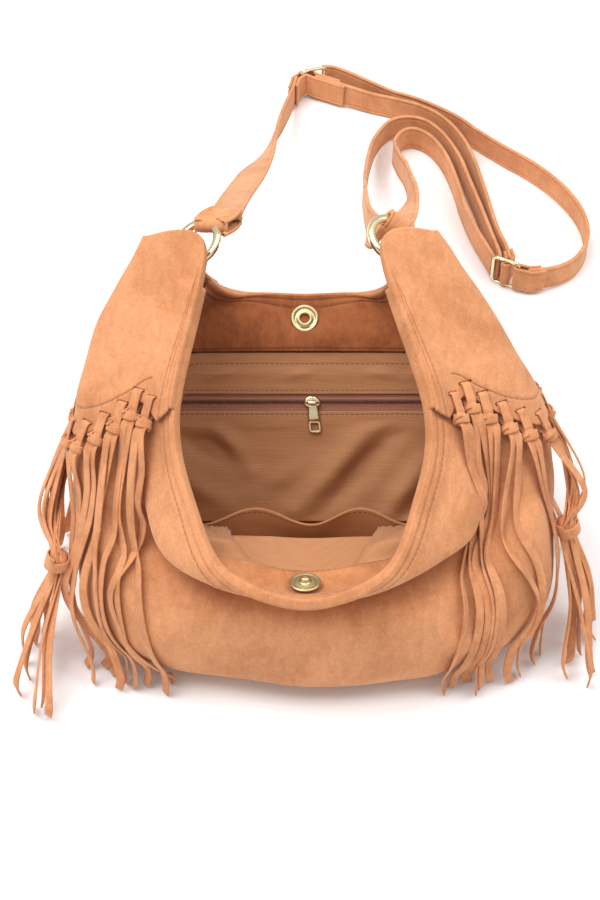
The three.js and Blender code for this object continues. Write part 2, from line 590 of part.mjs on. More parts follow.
// Slide adjusters: a frame with a centre bar, standing on edge on the straps.
const ADJUSTER_LONG = 22;
const ADJUSTER_TALL = 26;
const ADJUSTER_BAR = 2.4;
function adjuster(x, y, degrees) {
  const [a, b] = [ADJUSTER_LONG / 2, ADJUSTER_TALL / 2];
  const r = 3;
  const corners = [[a - r, -b + r], [a - r, b - r], [-a + r, b - r], [-a + r, -b + r]];
  const turns = [-90, -60, -30, 0].map(THREE.MathUtils.degToRad);
  const shape = new THREE.Shape(corners.flatMap(([cx, cy], quarter) => turns.map((turn) => {
    const angle = turn + quarter * Math.PI / 2;
    return new THREE.Vector2(cx + r * Math.cos(angle), cy + r * Math.sin(angle));
  })));
  const w = ADJUSTER_BAR;
  let frame = toSolid(new THREE.ExtrudeGeometry(shape, { depth: w, bevelEnabled: false }));
  const slot = new THREE.BoxGeometry(a - 1.5 * w, 2 * (b - w), 4 * w);
  for (const way of [-1, 1]) {
    const place = new THREE.Matrix4().makeTranslation(way * (a / 2 - w / 4), 0, w / 2);
    frame = frame.subtract(toSolid(slot.clone().applyMatrix4(place)));
  }
  frame = fromSolid(frame);
  frame.translate(0, 0, -w / 2);
  frame.rotateX(Math.PI / 2);
  frame.rotateZ(THREE.MathUtils.degToRad(degrees));
  return frame.translate(x, y, b + GAP);
}
add('adjuster_left', adjuster(8, 503.5, 15), 'metal');
add('adjuster_right', adjuster(146, 284, -27), 'metal');

// Laces: each is folded through a slot and round the wing's lower edge, knotted, and hangs as two tails.
const KNOT_DROP = 16;
const KNOT_OUT = WING_LIFT + SUEDE + LAYER + 0.4;
const TAIL_WIDTH = 4.2;
const TAIL_OFF = 8; // how far the tails hang off the body
const BELLY_LEVEL = 2;
// Stations between which the first and the last lace's tails hang, low on the body.
const TAIL_SPAN = { right: [2.2, 7.0], left: [15.8, 10.9] };
// The route of one tail: over the skin, and straight down wherever the skin falls back below it.
function tailRoute(side, k, way, route, u, v) {
  const span = (t) => mix(...TAIL_SPAN[side], t);
  const share = (k + 0.5 + way * 0.24) / LACES;
  const low = span(evenly((t) => skin(span(t), BELLY_LEVEL), share));
  const levels = 5;
  for (let i = 1; i <= levels; i += 1) {
    const height = mix(v - 0.2, 0.15, i / levels);
    const station = mix(u, low, ease((v - height) / (v - BELLY_LEVEL)));
    const out = skinFrame(low, BELLY_LEVEL).out.setZ(0).normalize();
    const off = i < levels ? TAIL_OFF : TAIL_OFF + 12 + 5 * ((k * 3 + way + 4) % 4);
    const p = offSkin(station, height, 0).addScaledVector(out, off);
    const back = route[route.length - 1].clone().sub(p).dot(out);
    route.push(p.addScaledVector(out, Math.max(back, 0)));
  }
  route[route.length - 1].z = 2.8;
  return route;
}
function lace(side, edge, k) {
  const { u, v, along, down, out, place } = laceFrame(edge, k);
  const under = LACE_THICK / 2 + 0.2;
  const over = WING_LIFT + SUEDE + LAYER + LACE_THICK / 2 + 0.4;
  const band = [place(KNOT_DROP, KNOT_OUT), place(SLOT_DROP + 1, over), place(1, over), place(0, over - 1.2),
    place(0, under + 1), place(1.4, under), place(SLOT_DROP + 2.5, under),
    place(KNOT_DROP, KNOT_OUT)];
  const pieces = [strip(band, band.map(() => along), LACE_WIDTH, LACE_THICK)];
  const knot = new THREE.IcosahedronGeometry(1.1);
  knot.scale(4.2, 3.3, 3.9);
  knot.applyMatrix4(new THREE.Matrix4().makeBasis(along, out, along.clone().cross(out)));
  const centre = place(KNOT_DROP, KNOT_OUT);
  pieces.push(knot.translate(centre.x, centre.y, centre.z));
  const [knotU, knotV] = walk(u, v, down.clone().multiplyScalar(KNOT_DROP - SLOT_DROP));
  for (const way of [-1, 1]) {
    const start = [centre.clone(), place(KNOT_DROP + 5, KNOT_OUT, way * 1.9)];
    const route = tailRoute(side, k, way, start, knotU, Math.min(knotV, 5.6));
    const steps = 6;
    const path = [];
    for (let i = 0; i <= steps; i += 1) path.push(spline(route, i / steps * (route.length - 1)));
    const away = route[route.length - 1].clone().sub(route[route.length - 2]).setZ(0);
    const level = V(-away.y, away.x, 0);
    pieces.push(strip(path, path.map(() => level), TAIL_WIDTH, LACE_THICK));
  }
  return join(...pieces);
}
for (const [side, edge] of SIDES) {
  for (let k = 0; k < LACES; k += 1) add(`lace_${side}_${k + 1}`, lace(side, edge, k), 'suede');
}

export default bag;
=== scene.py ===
"""A fringed suede shoulder bag, standing open on its base.

Lengths in the shape functions are millimetres; they become metres when a mesh is made.
"""
import json
import math
import bpy
import numpy as np
from mathutils.kdtree import KDTree
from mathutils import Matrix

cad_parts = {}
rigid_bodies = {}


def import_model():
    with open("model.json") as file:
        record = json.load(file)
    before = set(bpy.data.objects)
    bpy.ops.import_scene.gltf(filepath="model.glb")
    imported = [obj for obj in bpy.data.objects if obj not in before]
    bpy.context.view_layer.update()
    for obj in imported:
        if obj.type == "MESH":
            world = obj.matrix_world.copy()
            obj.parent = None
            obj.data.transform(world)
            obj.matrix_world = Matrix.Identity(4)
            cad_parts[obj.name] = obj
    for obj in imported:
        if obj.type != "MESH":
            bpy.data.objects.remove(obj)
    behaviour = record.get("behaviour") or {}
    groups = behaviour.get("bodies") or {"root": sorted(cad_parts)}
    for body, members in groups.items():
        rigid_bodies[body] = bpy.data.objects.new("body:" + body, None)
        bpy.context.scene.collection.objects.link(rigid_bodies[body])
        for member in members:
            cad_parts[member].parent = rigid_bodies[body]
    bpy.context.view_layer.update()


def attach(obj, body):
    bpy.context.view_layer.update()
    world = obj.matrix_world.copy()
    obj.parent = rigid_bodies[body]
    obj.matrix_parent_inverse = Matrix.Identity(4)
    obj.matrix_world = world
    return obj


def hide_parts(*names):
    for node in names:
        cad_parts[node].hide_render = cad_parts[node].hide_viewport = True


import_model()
MM = 0.001

# ---------------------------------------------------------------- camera
camera_data = bpy.data.cameras.new("camera")
camera_data.lens = 70
camera_data.sensor_width = 36
camera = bpy.data.objects.new("camera", camera_data)
camera.location = (-0.003, -0.631, 0.903)
camera.rotation_euler = (math.radians(40), 0, 0)
bpy.context.collection.objects.link(camera)
bpy.context.scene.camera = camera


# ---------------------------------------------------------------- mesh making
def make_piece(name, points, faces, body="bag", slot="suede", nodes=(), uvs=None, smooth=True):
    """A mesh piece from points in millimetres. uvs maps a UV name to one (u, v) per point."""
    mesh = bpy.data.meshes.new(name)
    faces = [tuple(int(i) for i in f) for f in faces]
    mesh.from_pydata((np.asarray(points, float) * MM).tolist(), [], faces)
    mesh.polygons.foreach_set("use_smooth", np.full(len(faces), smooth))
    corners = np.empty(len(mesh.loops), int)
    mesh.loops.foreach_get("vertex_index", corners)
    for uv_name, values in (uvs or {}).items():
        layer = mesh.uv_layers.new(name=uv_name)
        layer.data.foreach_set("uv", np.asarray(values, float)[corners].ravel())
    mesh.validate()
    mesh.update()
    piece = bpy.data.objects.new(name, mesh)
    bpy.context.collection.objects.link(piece)
    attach(piece, body)
    if nodes:
        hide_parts(*nodes)
    return piece


def sheet_faces(rows, columns, keep=None):
    """Faces of an outer grid, an inner grid behind it, and the walls round every edge and hole."""
    if keep is None:
        keep = np.ones((rows - 1, columns - 1), bool)
    index = np.arange(rows * columns).reshape(rows, columns)
    back = rows * columns
    a, b, c, d = index[:-1, :-1], index[:-1, 1:], index[1:, 1:], index[1:, :-1]
    outer = np.stack([a, b, c, d], -1)[keep]
    walls = []
    pad = np.pad(keep, 1)
    for low, high, first, second in (
        (pad[:-1, 1:-1], pad[1:, 1:-1], index[:, :-1], index[:, 1:]),
        (pad[1:-1, 1:], pad[1:-1, :-1], index[:-1, :], index[1:, :]),
    ):
        only_high = high & ~low
        only_low = low & ~high
        p, q = first[only_high], second[only_high]
        walls.append(np.stack([q, p, p + back, q + back], -1))
        p, q = first[only_low], second[only_low]
        walls.append(np.stack([p, q, q + back, p + back], -1))
    return np.concatenate([outer, outer[:, ::-1] + back] + walls)


def sheet_piece(name, outer, inner, keep=None, uvs=None, **facts):
    """A sheet with thickness from its outer and inner grids of points."""
    rows, columns = outer.shape[:2]
    faces = sheet_faces(rows, columns, keep)
    points = np.concatenate([outer.reshape(-1, 3), inner.reshape(-1, 3)])
    doubled = {k: np.concatenate([v.reshape(-1, 2)] * 2) for k, v in (uvs or {}).items()}
    used, faces = np.unique(faces, return_inverse=True)
    doubled = {k: v[used] for k, v in doubled.items()}
    return make_piece(name, points[used], faces.reshape(-1, 4), uvs=doubled, **facts)


def swept(sections, closed=False):
    """Points and faces of one profile carried along a path: sections is (steps, corners, 3)."""
    steps, corners = sections.shape[:2]
    index = np.arange(steps * corners).reshape(steps, corners)
    if closed:
        index = np.concatenate([index, index[:1]])
    side = np.concatenate([index, index[:, :1]], 1)
    quads = np.stack([side[:-1, :-1], side[:-1, 1:], side[1:, 1:], side[1:, :-1]], -1)
    faces = [tuple(q) for q in quads.reshape(-1, 4)]
    if not closed:
        faces += [tuple(index[0, ::-1]), tuple(index[-1])]
    return sections.reshape(-1, 3), faces


def merged(parts):
    """Joins several (points, faces) lists into one."""
    points, faces, base = [], [], 0
    for p, f in parts:
        points.append(p)
        faces += [tuple(int(i) + base for i in face) for face in f]
        base += len(p)
    return np.concatenate(points), faces


def unit(a):
    """Directions of length 1."""
    return a / np.maximum(np.linalg.norm(a, axis=-1, keepdims=True), 1e-9)


def tangents(path, closed=False):
    """Unit directions along a path."""
    if closed:
        return unit(np.roll(path, -1, 0) - np.roll(path, 1, 0))
    return unit(np.gradient(path, axis=0))


def ease(t):
    """A smooth step from 0 to 1: t * t * (3 - 2 t), with t held between 0 and 1."""
    t = np.clip(t, 0, 1)
    return t * t * (3 - 2 * t)


def mix(a, b, t):
    """From a to b: a + (b - a) * t."""
    return a + (b - a) * t


def bump_at(x, centre, width):
    """A smooth hump of height 1."""
    return np.exp(-(((x - centre) / width) ** 2))


def weights(f):
    """The four Catmull-Rom weights at a fraction between two points."""
    return 0.5 * np.stack(
        [-f + 2 * f**2 - f**3, 2 - 5 * f**2 + 3 * f**3, f + 4 * f**2 - 3 * f**3, f**3 - f**2], -1
    )


def spline(points, t, closed=False):
    """Catmull-Rom curve through points, at t counted in points."""
    points = np.asarray(points, float)
    t = np.atleast_1d(np.asarray(t, float))
    n = len(points)
    if closed:
        i = np.floor(t).astype(int)
        pick = (i[:, None] + np.arange(-1, 3)) % n
        table = points
    else:
        i = np.clip(np.floor(t).astype(int), 0, n - 2)
        pick = i[:, None] + np.arange(4)
        table = np.concatenate([[2 * points[0] - points[1]], points, [2 * points[-1] - points[-2]]])
    return np.einsum("nk,nkc->nc", weights(t - i), table[pick])


def even_path(points, step, closed=False):
    """The spline through points, sampled at an even spacing close to step."""
    n = len(points) if closed else len(points) - 1
    fine = spline(points, np.linspace(0, n, 40 * n + 1), closed)
    far = np.concatenate([[0], np.cumsum(np.linalg.norm(np.diff(fine, axis=0), axis=1))])
    count = max(int(round(far[-1] / step)), 3)
    wanted = np.linspace(0, far[-1], count + 1)
    if closed:
        wanted = wanted[:-1]
    return np.stack([np.interp(wanted, far, fine[:, k]) for k in range(3)], 1)


def ripples(p, seed, size, height, squash=(1, 1, 1)):
    """Soft unevenness: the mean of nine sine waves of random direction, about size long."""
    rng = np.random.default_rng(seed)
    waves = rng.normal(size=(9, 3)) * 2.2 / size * np.asarray(squash)
    phases = rng.uniform(0, 2 * math.pi, 9)
    return height * np.sin(p @ waves.T + phases).sum(-1) / 3


def ridge(p, start, end, width):
    """A hump along the line from start to end: 1 on the line, fading over width and at the ends."""
    start, end = np.asarray(start, float), np.asarray(end, float)
    run = end - start
    t = np.clip((p - start) @ run / (run @ run), 0, 1)
    away = np.linalg.norm(p - start - t[..., None] * run, axis=-1)
    return np.exp(-((away / width) ** 2)) * (0.35 + 0.65 * np.sin(math.pi * np.clip(t, 0.08, 0.92)))


# ---------------------------------------------------------------- the bag's skin
# Seven loops from the base to the rim, each of 18 stations: front centre, right, rear, left.
ANGLES = np.radians([0, 26, 50, 68, 82, 96, 112, 128, 150, 180, 210, 232, 248, 264, 278, 292, 310, 334])


def rounded_loop(right, left, front, rear, z):
    """A superellipse, of power 2.4 to the front and 4 to the rear."""
    s, c = np.sin(ANGLES), np.cos(ANGLES)
    power = np.where(c > 0, 2 / 2.4, 2 / 4)
    x = np.sign(s) * np.abs(s) ** power * np.where(s > 0, right, left)
    y = -np.sign(c) * np.abs(c) ** power * np.where(c > 0, front, rear)
    return np.stack([x, y, np.full(18, float(z))], 1)


UPPER = [
    (0, -61, 72), (60, -55, 73), (107, -35, 75), (134, -10, 84), (144, 14, 86), (150, 42, 86),
    (140, 74, 84), (128, 104, 80), (90, 125, 73), (0, 128, 72),
    (-88, 125, 73), (-122, 104, 80), (-132, 74, 84), (-138, 38, 86), (-134, 10, 86),
    (-122, -14, 84), (-95, -37, 75), (-54, -54, 73)]
CREASE = [
    (0, -37, 80), (45, -28, 81), (82, -3, 84), (116, 8, 99), (130, 27, 112), (141, 50, 116),
    (132, 84, 111), (116, 116, 103), (86, 140, 90), (0, 143, 88),
    (-84, 140, 90), (-110, 116, 103), (-126, 82, 112), (-134, 44, 114), (-124, 19, 112),
    (-107, -3, 100), (-74, -9, 84), (-42, -28, 81)]
SHOULDER = [
    (0, -56, 87), (56, -50, 95), (96, -20, 101), (99, 28, 127), (98, 60, 150), (113, 88, 160),
    (98, 112, 142), (82, 138, 121), (66, 152, 103), (0, 156, 98),
    (-66, 152, 103), (-82, 138, 121), (-102, 110, 142), (-119, 84, 158), (-101, 56, 150),
    (-98, 21, 127), (-85, -29, 100), (-51, -53, 95)]
RIM = [
    (0, -71.5, 97.5), (44, -57.5, 105.5), (64, -20, 126), (72, 30, 152), (45, 115, 198), (75, 122, 202),
    (50, 129, 180), (56, 146, 146), (43, 165, 112), (0, 167, 105),
    (-43, 165, 112), (-62, 146, 146), (-62, 130, 180), (-92, 120, 200), (-59, 115, 198),
    (-76, 30, 152), (-65, -21, 125), (-44, -57.5, 105.5)]
LOOPS = np.array([
    rounded_loop(122, 120, 55, 52, 0), rounded_loop(144, 134, 70, 80, 20),
    rounded_loop(150, 139, 70, 106, 48), UPPER, CREASE, SHOULDER, RIM], float)
STATIONS = 18
TOP = 6.0


def skin(u, v):
    """The outer surface: splines round each loop at station u, then one across the loops at height v."""
    u, v = np.broadcast_arrays(np.asarray(u, float), np.asarray(v, float))
    shape = u.shape
    u, v = u.ravel(), v.ravel()
    i = np.floor(u).astype(int)
    pick = (i[:, None] + np.arange(-1, 3)) % STATIONS
    rings = np.einsum("nk,lnkc->lnc", weights(u - i), LOOPS[:, pick])
    rings = np.concatenate([2 * rings[:1] - rings[1:2], rings, 2 * rings[-1:] - rings[-2:-1]])
    j = np.clip(np.floor(v).astype(int), 0, 5)
    rows = rings[j + np.arange(4)[:, None], np.arange(len(u))]
    return np.einsum("nk,knc->nc", weights(v - j), rows).reshape(shape + (3,))


def skin_frame(u, v):
    """Directions along the skin, up it and out of it, and the millimetres in one step of v."""
    e = 0.02
    along = unit(skin(u + e, v) - skin(u - e, v))
    low, high = np.maximum(v - e, 0), np.minimum(v + e, TOP)
    rise = skin(u, high) - skin(u, low)
    size = np.linalg.norm(rise, axis=-1)
    up = rise / size[..., None]
    return along, up, unit(np.cross(along, up)), size / (high - low)


def lower(u, v, distance):
    """The height that lies a distance below v, measured up the skin."""
    at = np.broadcast_to(np.asarray(v, float), np.shape(u)).copy()
    for _ in range(8):
        at = at - distance / 8 / skin_frame(u, at)[3]
    return at


EDGE = {
    "right": [(2.95, 5.75), (3.3, 5.3), (3.8, 4.72), (4.4, 4.25), (5, 4.05), (5.8, 4.15),
              (6.5, 4.5), (7.1, 5.0), (7.55, 5.7)],
    "left": [(15.05, 5.75), (14.7, 5.3), (14.2, 4.72), (13.6, 4.25), (13, 4.05), (12.2, 4.15),
             (11.5, 4.5), (10.9, 5.0), (10.45, 5.7)],
}


def edge_point(side, t):
    """Station and height of a wing's lower edge, at t from 0 at the mouth to 1 at the rear."""
    table = np.array([(u, v, 0) for u, v in EDGE[side]])
    p = spline(table, np.asarray(t, float).ravel() * (len(table) - 1))
    return p[:, 0], p[:, 1]


def wing_floor(u):
    """The height of the wings' lower edges at each station, and the rim between them."""
    station = np.mod(u, STATIONS)
    floor = np.full(np.shape(station), TOP)
    for side in EDGE:
        us, vs = edge_point(side, np.linspace(0, 1, 300))
        order = np.argsort(us)
        inside = (station > us.min()) & (station < us.max())
        floor = np.where(inside, np.interp(station, us[order], vs[order]), floor)
    return floor


SUEDE, FACING, CLOTH, LAYER, WING_LIFT = 2.2, 1.8, 1.0, 1.0, 1.8
FACING_OFF = SUEDE + 2 * LAYER
FACING_DEPTH = 37.0


def rounded_edge(distance, thick):
    """Half the thickness of a sheet near its edge, where it is rounded off."""
    half = thick / 2
    return half * np.sqrt(np.clip(1 - (1 - np.minimum(distance, half) / half) ** 2, 0.02, 1))


def hem_relief(distance):
    """The height of a turned and stitched edge: a roll, a groove, and a padded band."""
    band = ease((distance - 4.4) / 1.0) * (1 - ease((distance - 9.5) / 4))
    dips = 0.7 * bump_at(distance, 3.9, 0.6) + 0.25 * bump_at(distance, 8.0, 1.0)
    return 0.7 * bump_at(distance, 1.8, 1.8) + 0.45 * band - dips


def column_lengths(points):
    """Millimetres along each row of a grid, from its first column."""
    steps = np.linalg.norm(np.diff(points, axis=1), axis=-1)
    return np.concatenate([np.zeros((len(points), 1)), np.cumsum(steps, 1)], 1)


def fine_heights(top, rows, edge_step=0.45, edge_rows=24):
    """Heights from the base to top: even rows, and close ones by the edge to shape the hem."""
    t = np.linspace(0, 1, rows)[:, None]
    scale = 30.0
    near = edge_step * edge_rows / scale
    core = t * np.maximum(top - near, 0.05)[None]
    edge = (np.arange(1, edge_rows + 1) / edge_rows)[:, None]
    return np.concatenate([core, mix(core[-1][None], top[None], edge)])


def ribbon(path, side, width, thick, closed=False):
    """A soft strip: an oval-edged section, width by thick, carried along a path."""
    run = tangents(path, closed)
    side = np.broadcast_to(side, path.shape)
    side = unit(side - (side * run).sum(-1, keepdims=True) * run)
    face = np.cross(run, side)
    around = np.linspace(0, 2 * math.pi, 14, endpoint=False)
    c, s = np.cos(around), np.sin(around)
    across = np.sign(c) * np.abs(c) ** 0.45
    high = np.sign(s) * np.abs(s) ** 0.7
    width = np.broadcast_to(width, len(path))[:, None, None] / 2
    thick = np.broadcast_to(thick, len(path))[:, None, None] / 2
    sections = path[:, None] + side[:, None] * across[None, :, None] * width
    sections = sections + face[:, None] * high[None, :, None] * thick
    return swept(sections, closed)


def turned(profile, centre, axis, steps=72):
    """A shape turned on a lathe: profile is (radius, height along the axis), from axis to axis."""
    axis = unit(np.asarray(axis, float))
    first = unit(np.cross(axis, (0.3, 1.0, 0.2)))
    second = np.cross(axis, first)
    angle = np.linspace(0, 2 * math.pi, steps, endpoint=False)
    radial = np.cos(angle)[:, None] * first + np.sin(angle)[:, None] * second
    profile = np.asarray(profile, float)
    middle = np.asarray(centre, float)
    rings = profile[1:-1]
    points = middle + radial[:, None] * rings[None, :, :1] + axis * rings[None, :, 1:]
    n = len(rings)
    index = np.arange(steps * n).reshape(steps, n)
    after = np.roll(index, -1, 0)
    quads = np.stack([index[:, :-1], after[:, :-1], after[:, 1:], index[:, 1:]], -1).reshape(-1, 4)
    base = steps * n
    ends = middle + axis * np.array([[profile[0, 1]], [profile[-1, 1]]])
    faces = [tuple(q) for q in quads]
    faces += [(base, int(after[k, 0]), int(index[k, 0])) for k in range(steps)]
    faces += [(base + 1, int(index[k, -1]), int(after[k, -1])) for k in range(steps)]
    return np.concatenate([points.reshape(-1, 3), ends]), faces


# ---------------------------------------------------------------- straps, which are cords
ROUTES = {
    "strap_left": [
        (-48, 146, 192), (-47, 166, 180), (-44, 218, 145), (-37, 285, 103), (-29, 350, 66),
        (-22, 408, 38), (-15, 452, 21), (-9, 482, 14), (-6, 497.5, 13)],
    "strap_link": [
        (9.5, 499, 13), (20, 494, 13), (36, 487, 12), (54, 479.5, 11), (70, 474, 11),
        (90, 466, 11), (107, 453, 11), (120, 433, 11), (129, 407, 11), (136, 367, 11),
        (142, 325, 12), (147, 304, 13), (149.5, 289.5, 13)],
    "strap_loop": [
        (14.5, 512, 13), (25, 510.5, 13), (39, 503.5, 12), (54, 494, 11), (70, 483, 11),
        (88, 474.5, 11), (106, 463, 11), (122, 450, 11), (136, 434, 11), (154, 416, 11),
        (173, 399, 11), (190, 379, 11), (202, 358, 11), (208, 339, 11), (209, 321, 11),
        (205, 305, 11), (196, 291, 11), (183, 282, 12), (170, 278, 13), (161.5, 277, 13)],
    "strap_outer": [
        (140, 288, 13), (142, 294, 13), (137, 321, 12), (131, 352, 11), (125, 379, 11), (120, 402, 11),
        (113, 421, 11), (105, 436, 11), (95, 447, 11), (83, 451, 11), (72, 449, 11),
        (63, 440, 12), (55, 423, 14), (50, 398, 22), (46, 361, 38), (43, 313, 64),
        (42, 255, 100), (42, 196, 140), (44, 153, 172), (46, 144, 179)],
    "strap_inner": [
        (137, 291, 13), (135.5, 296.5, 13), (126, 325, 12), (120, 351, 11), (115, 381, 11), (109, 406, 11),
        (101, 424, 11), (92, 434, 11), (83, 437, 11), (75, 432, 11), (70, 418, 13),
        (72, 388, 26), (75, 347, 50), (74, 290, 84), (66, 226, 126), (58, 172, 166),
        (55.5, 154, 181)],
}
STRAP_WIDTH = 20.0
STRAP_THICK = 2.8
# Half of the strap's section, from its middle to its edge: (share of half width, share of half thickness).
STRAP_HALF = [
    (0, 0.84), (0.3, 0.86), (0.55, 0.86), (0.66, 0.84), (0.72, 0.52), (0.76, 0.5), (0.8, 0.62),
    (0.85, 0.95), (0.91, 1.0), (0.96, 0.86), (0.99, 0.45)]


def strap_section():
    """The whole section, going round from the middle of the face: rolled edges with a groove inside."""
    right = np.array(STRAP_HALF)
    under = right[::-1] * (1, -1)
    quarter = np.concatenate([right, under])
    left = quarter[::-1][1:-1] * (-1, 1)
    return np.concatenate([quarter, left])[::-1]


STRAP_TURNED = {"strap_left": (16, 110), "strap_outer": (118, 235), "strap_inner": (60, 172)}
FLAT_ON_TABLE = (16, 80)


def strap_sides(path, heights=FLAT_ON_TABLE):
    """The direction of a strap's width: upright below the first height, level above the second."""
    angle = ease((path[:, 2] - heights[0]) / (heights[1] - heights[0])) * math.pi / 2
    return np.stack([np.sin(angle), np.zeros(len(path)), np.cos(angle)], 1)


def strap_strip(path, side, width=STRAP_WIDTH, thick=STRAP_THICK):
    """A strap: its section carried along a path, and a UV of length and distance from the middle."""
    run = tangents(path)
    side = unit(side - (side * run).sum(-1, keepdims=True) * run)
    face = np.cross(run, side)
    shape = strap_section()
    half = np.broadcast_to(width, len(path))[:, None] / 2 * shape[None, :, 0]
    sections = path[:, None] + side[:, None] * half[..., None]
    sections = sections + face[:, None] * shape[None, :, 1:] * thick / 2
    length = np.concatenate([[0], np.cumsum(np.linalg.norm(np.diff(path, axis=0), axis=1))])
    uv = np.stack(np.broadcast_arrays(length[:, None], half), -1) * MM
    points, faces = swept(sections)
    return points, faces, uv.reshape(-1, 2)


strap_paths = {}
for strap_name, route in ROUTES.items():
    line = even_path(np.array(route, float), 2.0)
    strap_paths[strap_name] = line
    shape, quads, strap_uv = strap_strip(line, strap_sides(line, STRAP_TURNED.get(strap_name, FLAT_ON_TABLE)))
    make_piece(
        strap_name + "_suede", shape, quads, nodes=(strap_name,), uvs={"strap": strap_uv})


# ---------------------------------------------------------------- body, wings and facings
def body_panel(name, start, end, columns, seed, folds):
    """Half of the outer bag: the skin between two side seams, with ripples, folds and a hem."""
    u1 = np.linspace(start, end, columns)
    top = np.minimum(wing_floor(u1) + 0.3, TOP)
    v = fine_heights(top, 96)
    u = np.broadcast_to(u1, v.shape)
    p = skin(u, v)
    _, _, out, _ = skin_frame(u, v)
    rise = np.linalg.norm(np.diff(p, axis=0), axis=-1)
    rim = np.concatenate([np.cumsum(rise[::-1], 0)[::-1], np.zeros((1, columns))])
    run = column_lengths(p)
    side = np.minimum(run, run[:, -1:] - run)
    free = ease((wing_floor(u1) - 5.5) / 0.5)[None]
    calm = ease((wing_floor(u1)[None] - v) / 0.4) * ease(side / 12) * ease(v / 0.5)
    height = (ripples(p, seed, 52, 1.5) + ripples(p, seed + 1, 24, 0.45)) * calm
    for begin, finish, width, size in folds:
        height = height + size * ridge(p, begin, finish, width) * np.minimum(calm * 1.5, 1)
    height = height - 1.3 * np.exp(-((side / 2.4) ** 2)) + 0.5 * bump_at(side, 6, 3)
    height = height + hem_relief(rim) * free
    half = rounded_edge(rim, SUEDE) - SUEDE / 2
    outer = p + out * (height + half)[..., None]
    inner = p - out * (SUEDE + half - 0.3 * np.minimum(height, 0))[..., None]
    far = (1 - free) * 0.05
    uvs = {"rim": np.stack([run * MM, (rim - 8.2) * MM + far], -1)}
    return sheet_piece(name + "_suede", outer, inner, uvs=uvs, nodes=(name,))


FRONT_FOLDS = [
    ((70, -66, 66), (128, -46, 22), 11, 3.4), ((96, -50, 72), (60, -72, 40), 9, -2.0),
    ((-60, -60, 66), (-116, -52, 30), 12, 2.2), ((-90, -48, 70), (-40, -70, 44), 9, -1.6),
    ((-40, -70, 20), (60, -72, 26), 12, 1.2), ((20, -66, 58), (86, -64, 50), 8, 1.8),
]
REAR_FOLDS = [
    ((-90, 118, 86), (-40, 112, 40), 11, 2.4), ((80, 120, 86), (30, 112, 40), 11, 2.2),
    ((-30, 128, 76), (60, 118, 60), 9, -1.8)]
body_front = body_panel("body_front", -4.97, 4.97, 300, 5, FRONT_FOLDS)
body_rear = body_panel("body_rear", 5.03, 12.97, 230, 8, REAR_FOLDS)


def column_heights(u, low, top, wanted):
    """The height on the skin at each wanted distance above low, column by column."""
    t = np.linspace(0, 1, 90)[:, None]
    v = mix(low[None], top, t)
    p = skin(np.broadcast_to(u, v.shape), v)
    far = np.concatenate([np.zeros((1, len(u))), np.cumsum(np.linalg.norm(np.diff(p, axis=0), axis=-1), 0)])
    total = far[-1]
    picked = wanted(total)
    columns = [np.interp(picked[:, k], far[:, k], v[:, k]) for k in range(len(u))]
    return np.stack(columns, 1), picked, total


def wing_rows(total):
    """Close rows by the laced edge, even rows above them and close rows by the rim."""
    low = np.minimum(14.0, 0.45 * total)
    high = np.maximum(total - 6.0, low + 0.3 * (total - low))
    near = np.linspace(0, 1, 27)[:, None] * low
    middle = mix(low, high, np.linspace(0, 1, 84)[1:, None])
    last = mix(high, total, np.linspace(0, 1, 15)[1:, None])
    return np.concatenate([near, middle, last])


def walk(u, v, step):
    """Moves over the skin from a station and height by a step in millimetres."""
    a, b = float(u), float(v)
    for _ in range(6):
        pu = (skin(a + 0.01, b) - skin(a - 0.01, b)) / 0.02
        pv = (skin(a, b + 0.01) - skin(a, b - 0.01)) / 0.02
        uu, vv, uv = pu @ pu, pv @ pv, pu @ pv
        su, sv = step @ pu / 6, step @ pv / 6
        size = uu * vv - uv * uv
        a += (su * vv - sv * uv) / size
        b += (sv * uu - su * uv) / size
    return a, b


HANG = [(0.15, -0.75, -0.65), (0.25, -0.55, -0.8), (0.2, -0.15, -1), (0.1, 0, -1), (0, 0.15, -1)]
LACES = 13
SLOT_DROP = 8.0
KNOT_DROP = 16.0
KNOT_OUT = WING_LIFT + SUEDE + LAYER + 0.4
LACE_WIDTH = 6.4
LACE_THICK = 1.3


def lace_frame(side, k):
    """A lace's slot: its place, and the directions along the wing's edge, down over it, and out."""
    share = mix(0.05, 0.35, k / 5) if k < 6 else mix(0.35, 0.94, (k - 5) / 7)
    t = np.linspace(0, 1, 101)
    p = skin(*edge_point(side, t))
    far = np.concatenate([[0], np.cumsum(np.linalg.norm(np.diff(p, axis=0), axis=1))])
    u, v = edge_point(side, np.interp(share * far[-1], far, t))
    u, v = float(u[0]), float(v[0])
    out = skin_frame(u, v)[2]
    down = spline(HANG, share * 4)[0]
    if side == "left":
        down[0] = -down[0]
    down = unit(down - (down @ out) * out)
    room = mix(0.62, 0, float(ease(k / 5)))
    slot = skin(*walk(u, v, -SLOT_DROP * down)) + out * room
    return {"u": u, "v": v, "down": down, "out": out, "along": unit(np.cross(down, out)), "slot": slot}


LACE_FRAMES = {side: [lace_frame(side, k) for k in range(LACES)] for side in EDGE}


def place(at, drop, off, sideways=0.0):
    """A point near a lace's slot: so far down, out and along from it."""
    return at["slot"] + drop * at["down"] + off * at["out"] + sideways * at["along"]


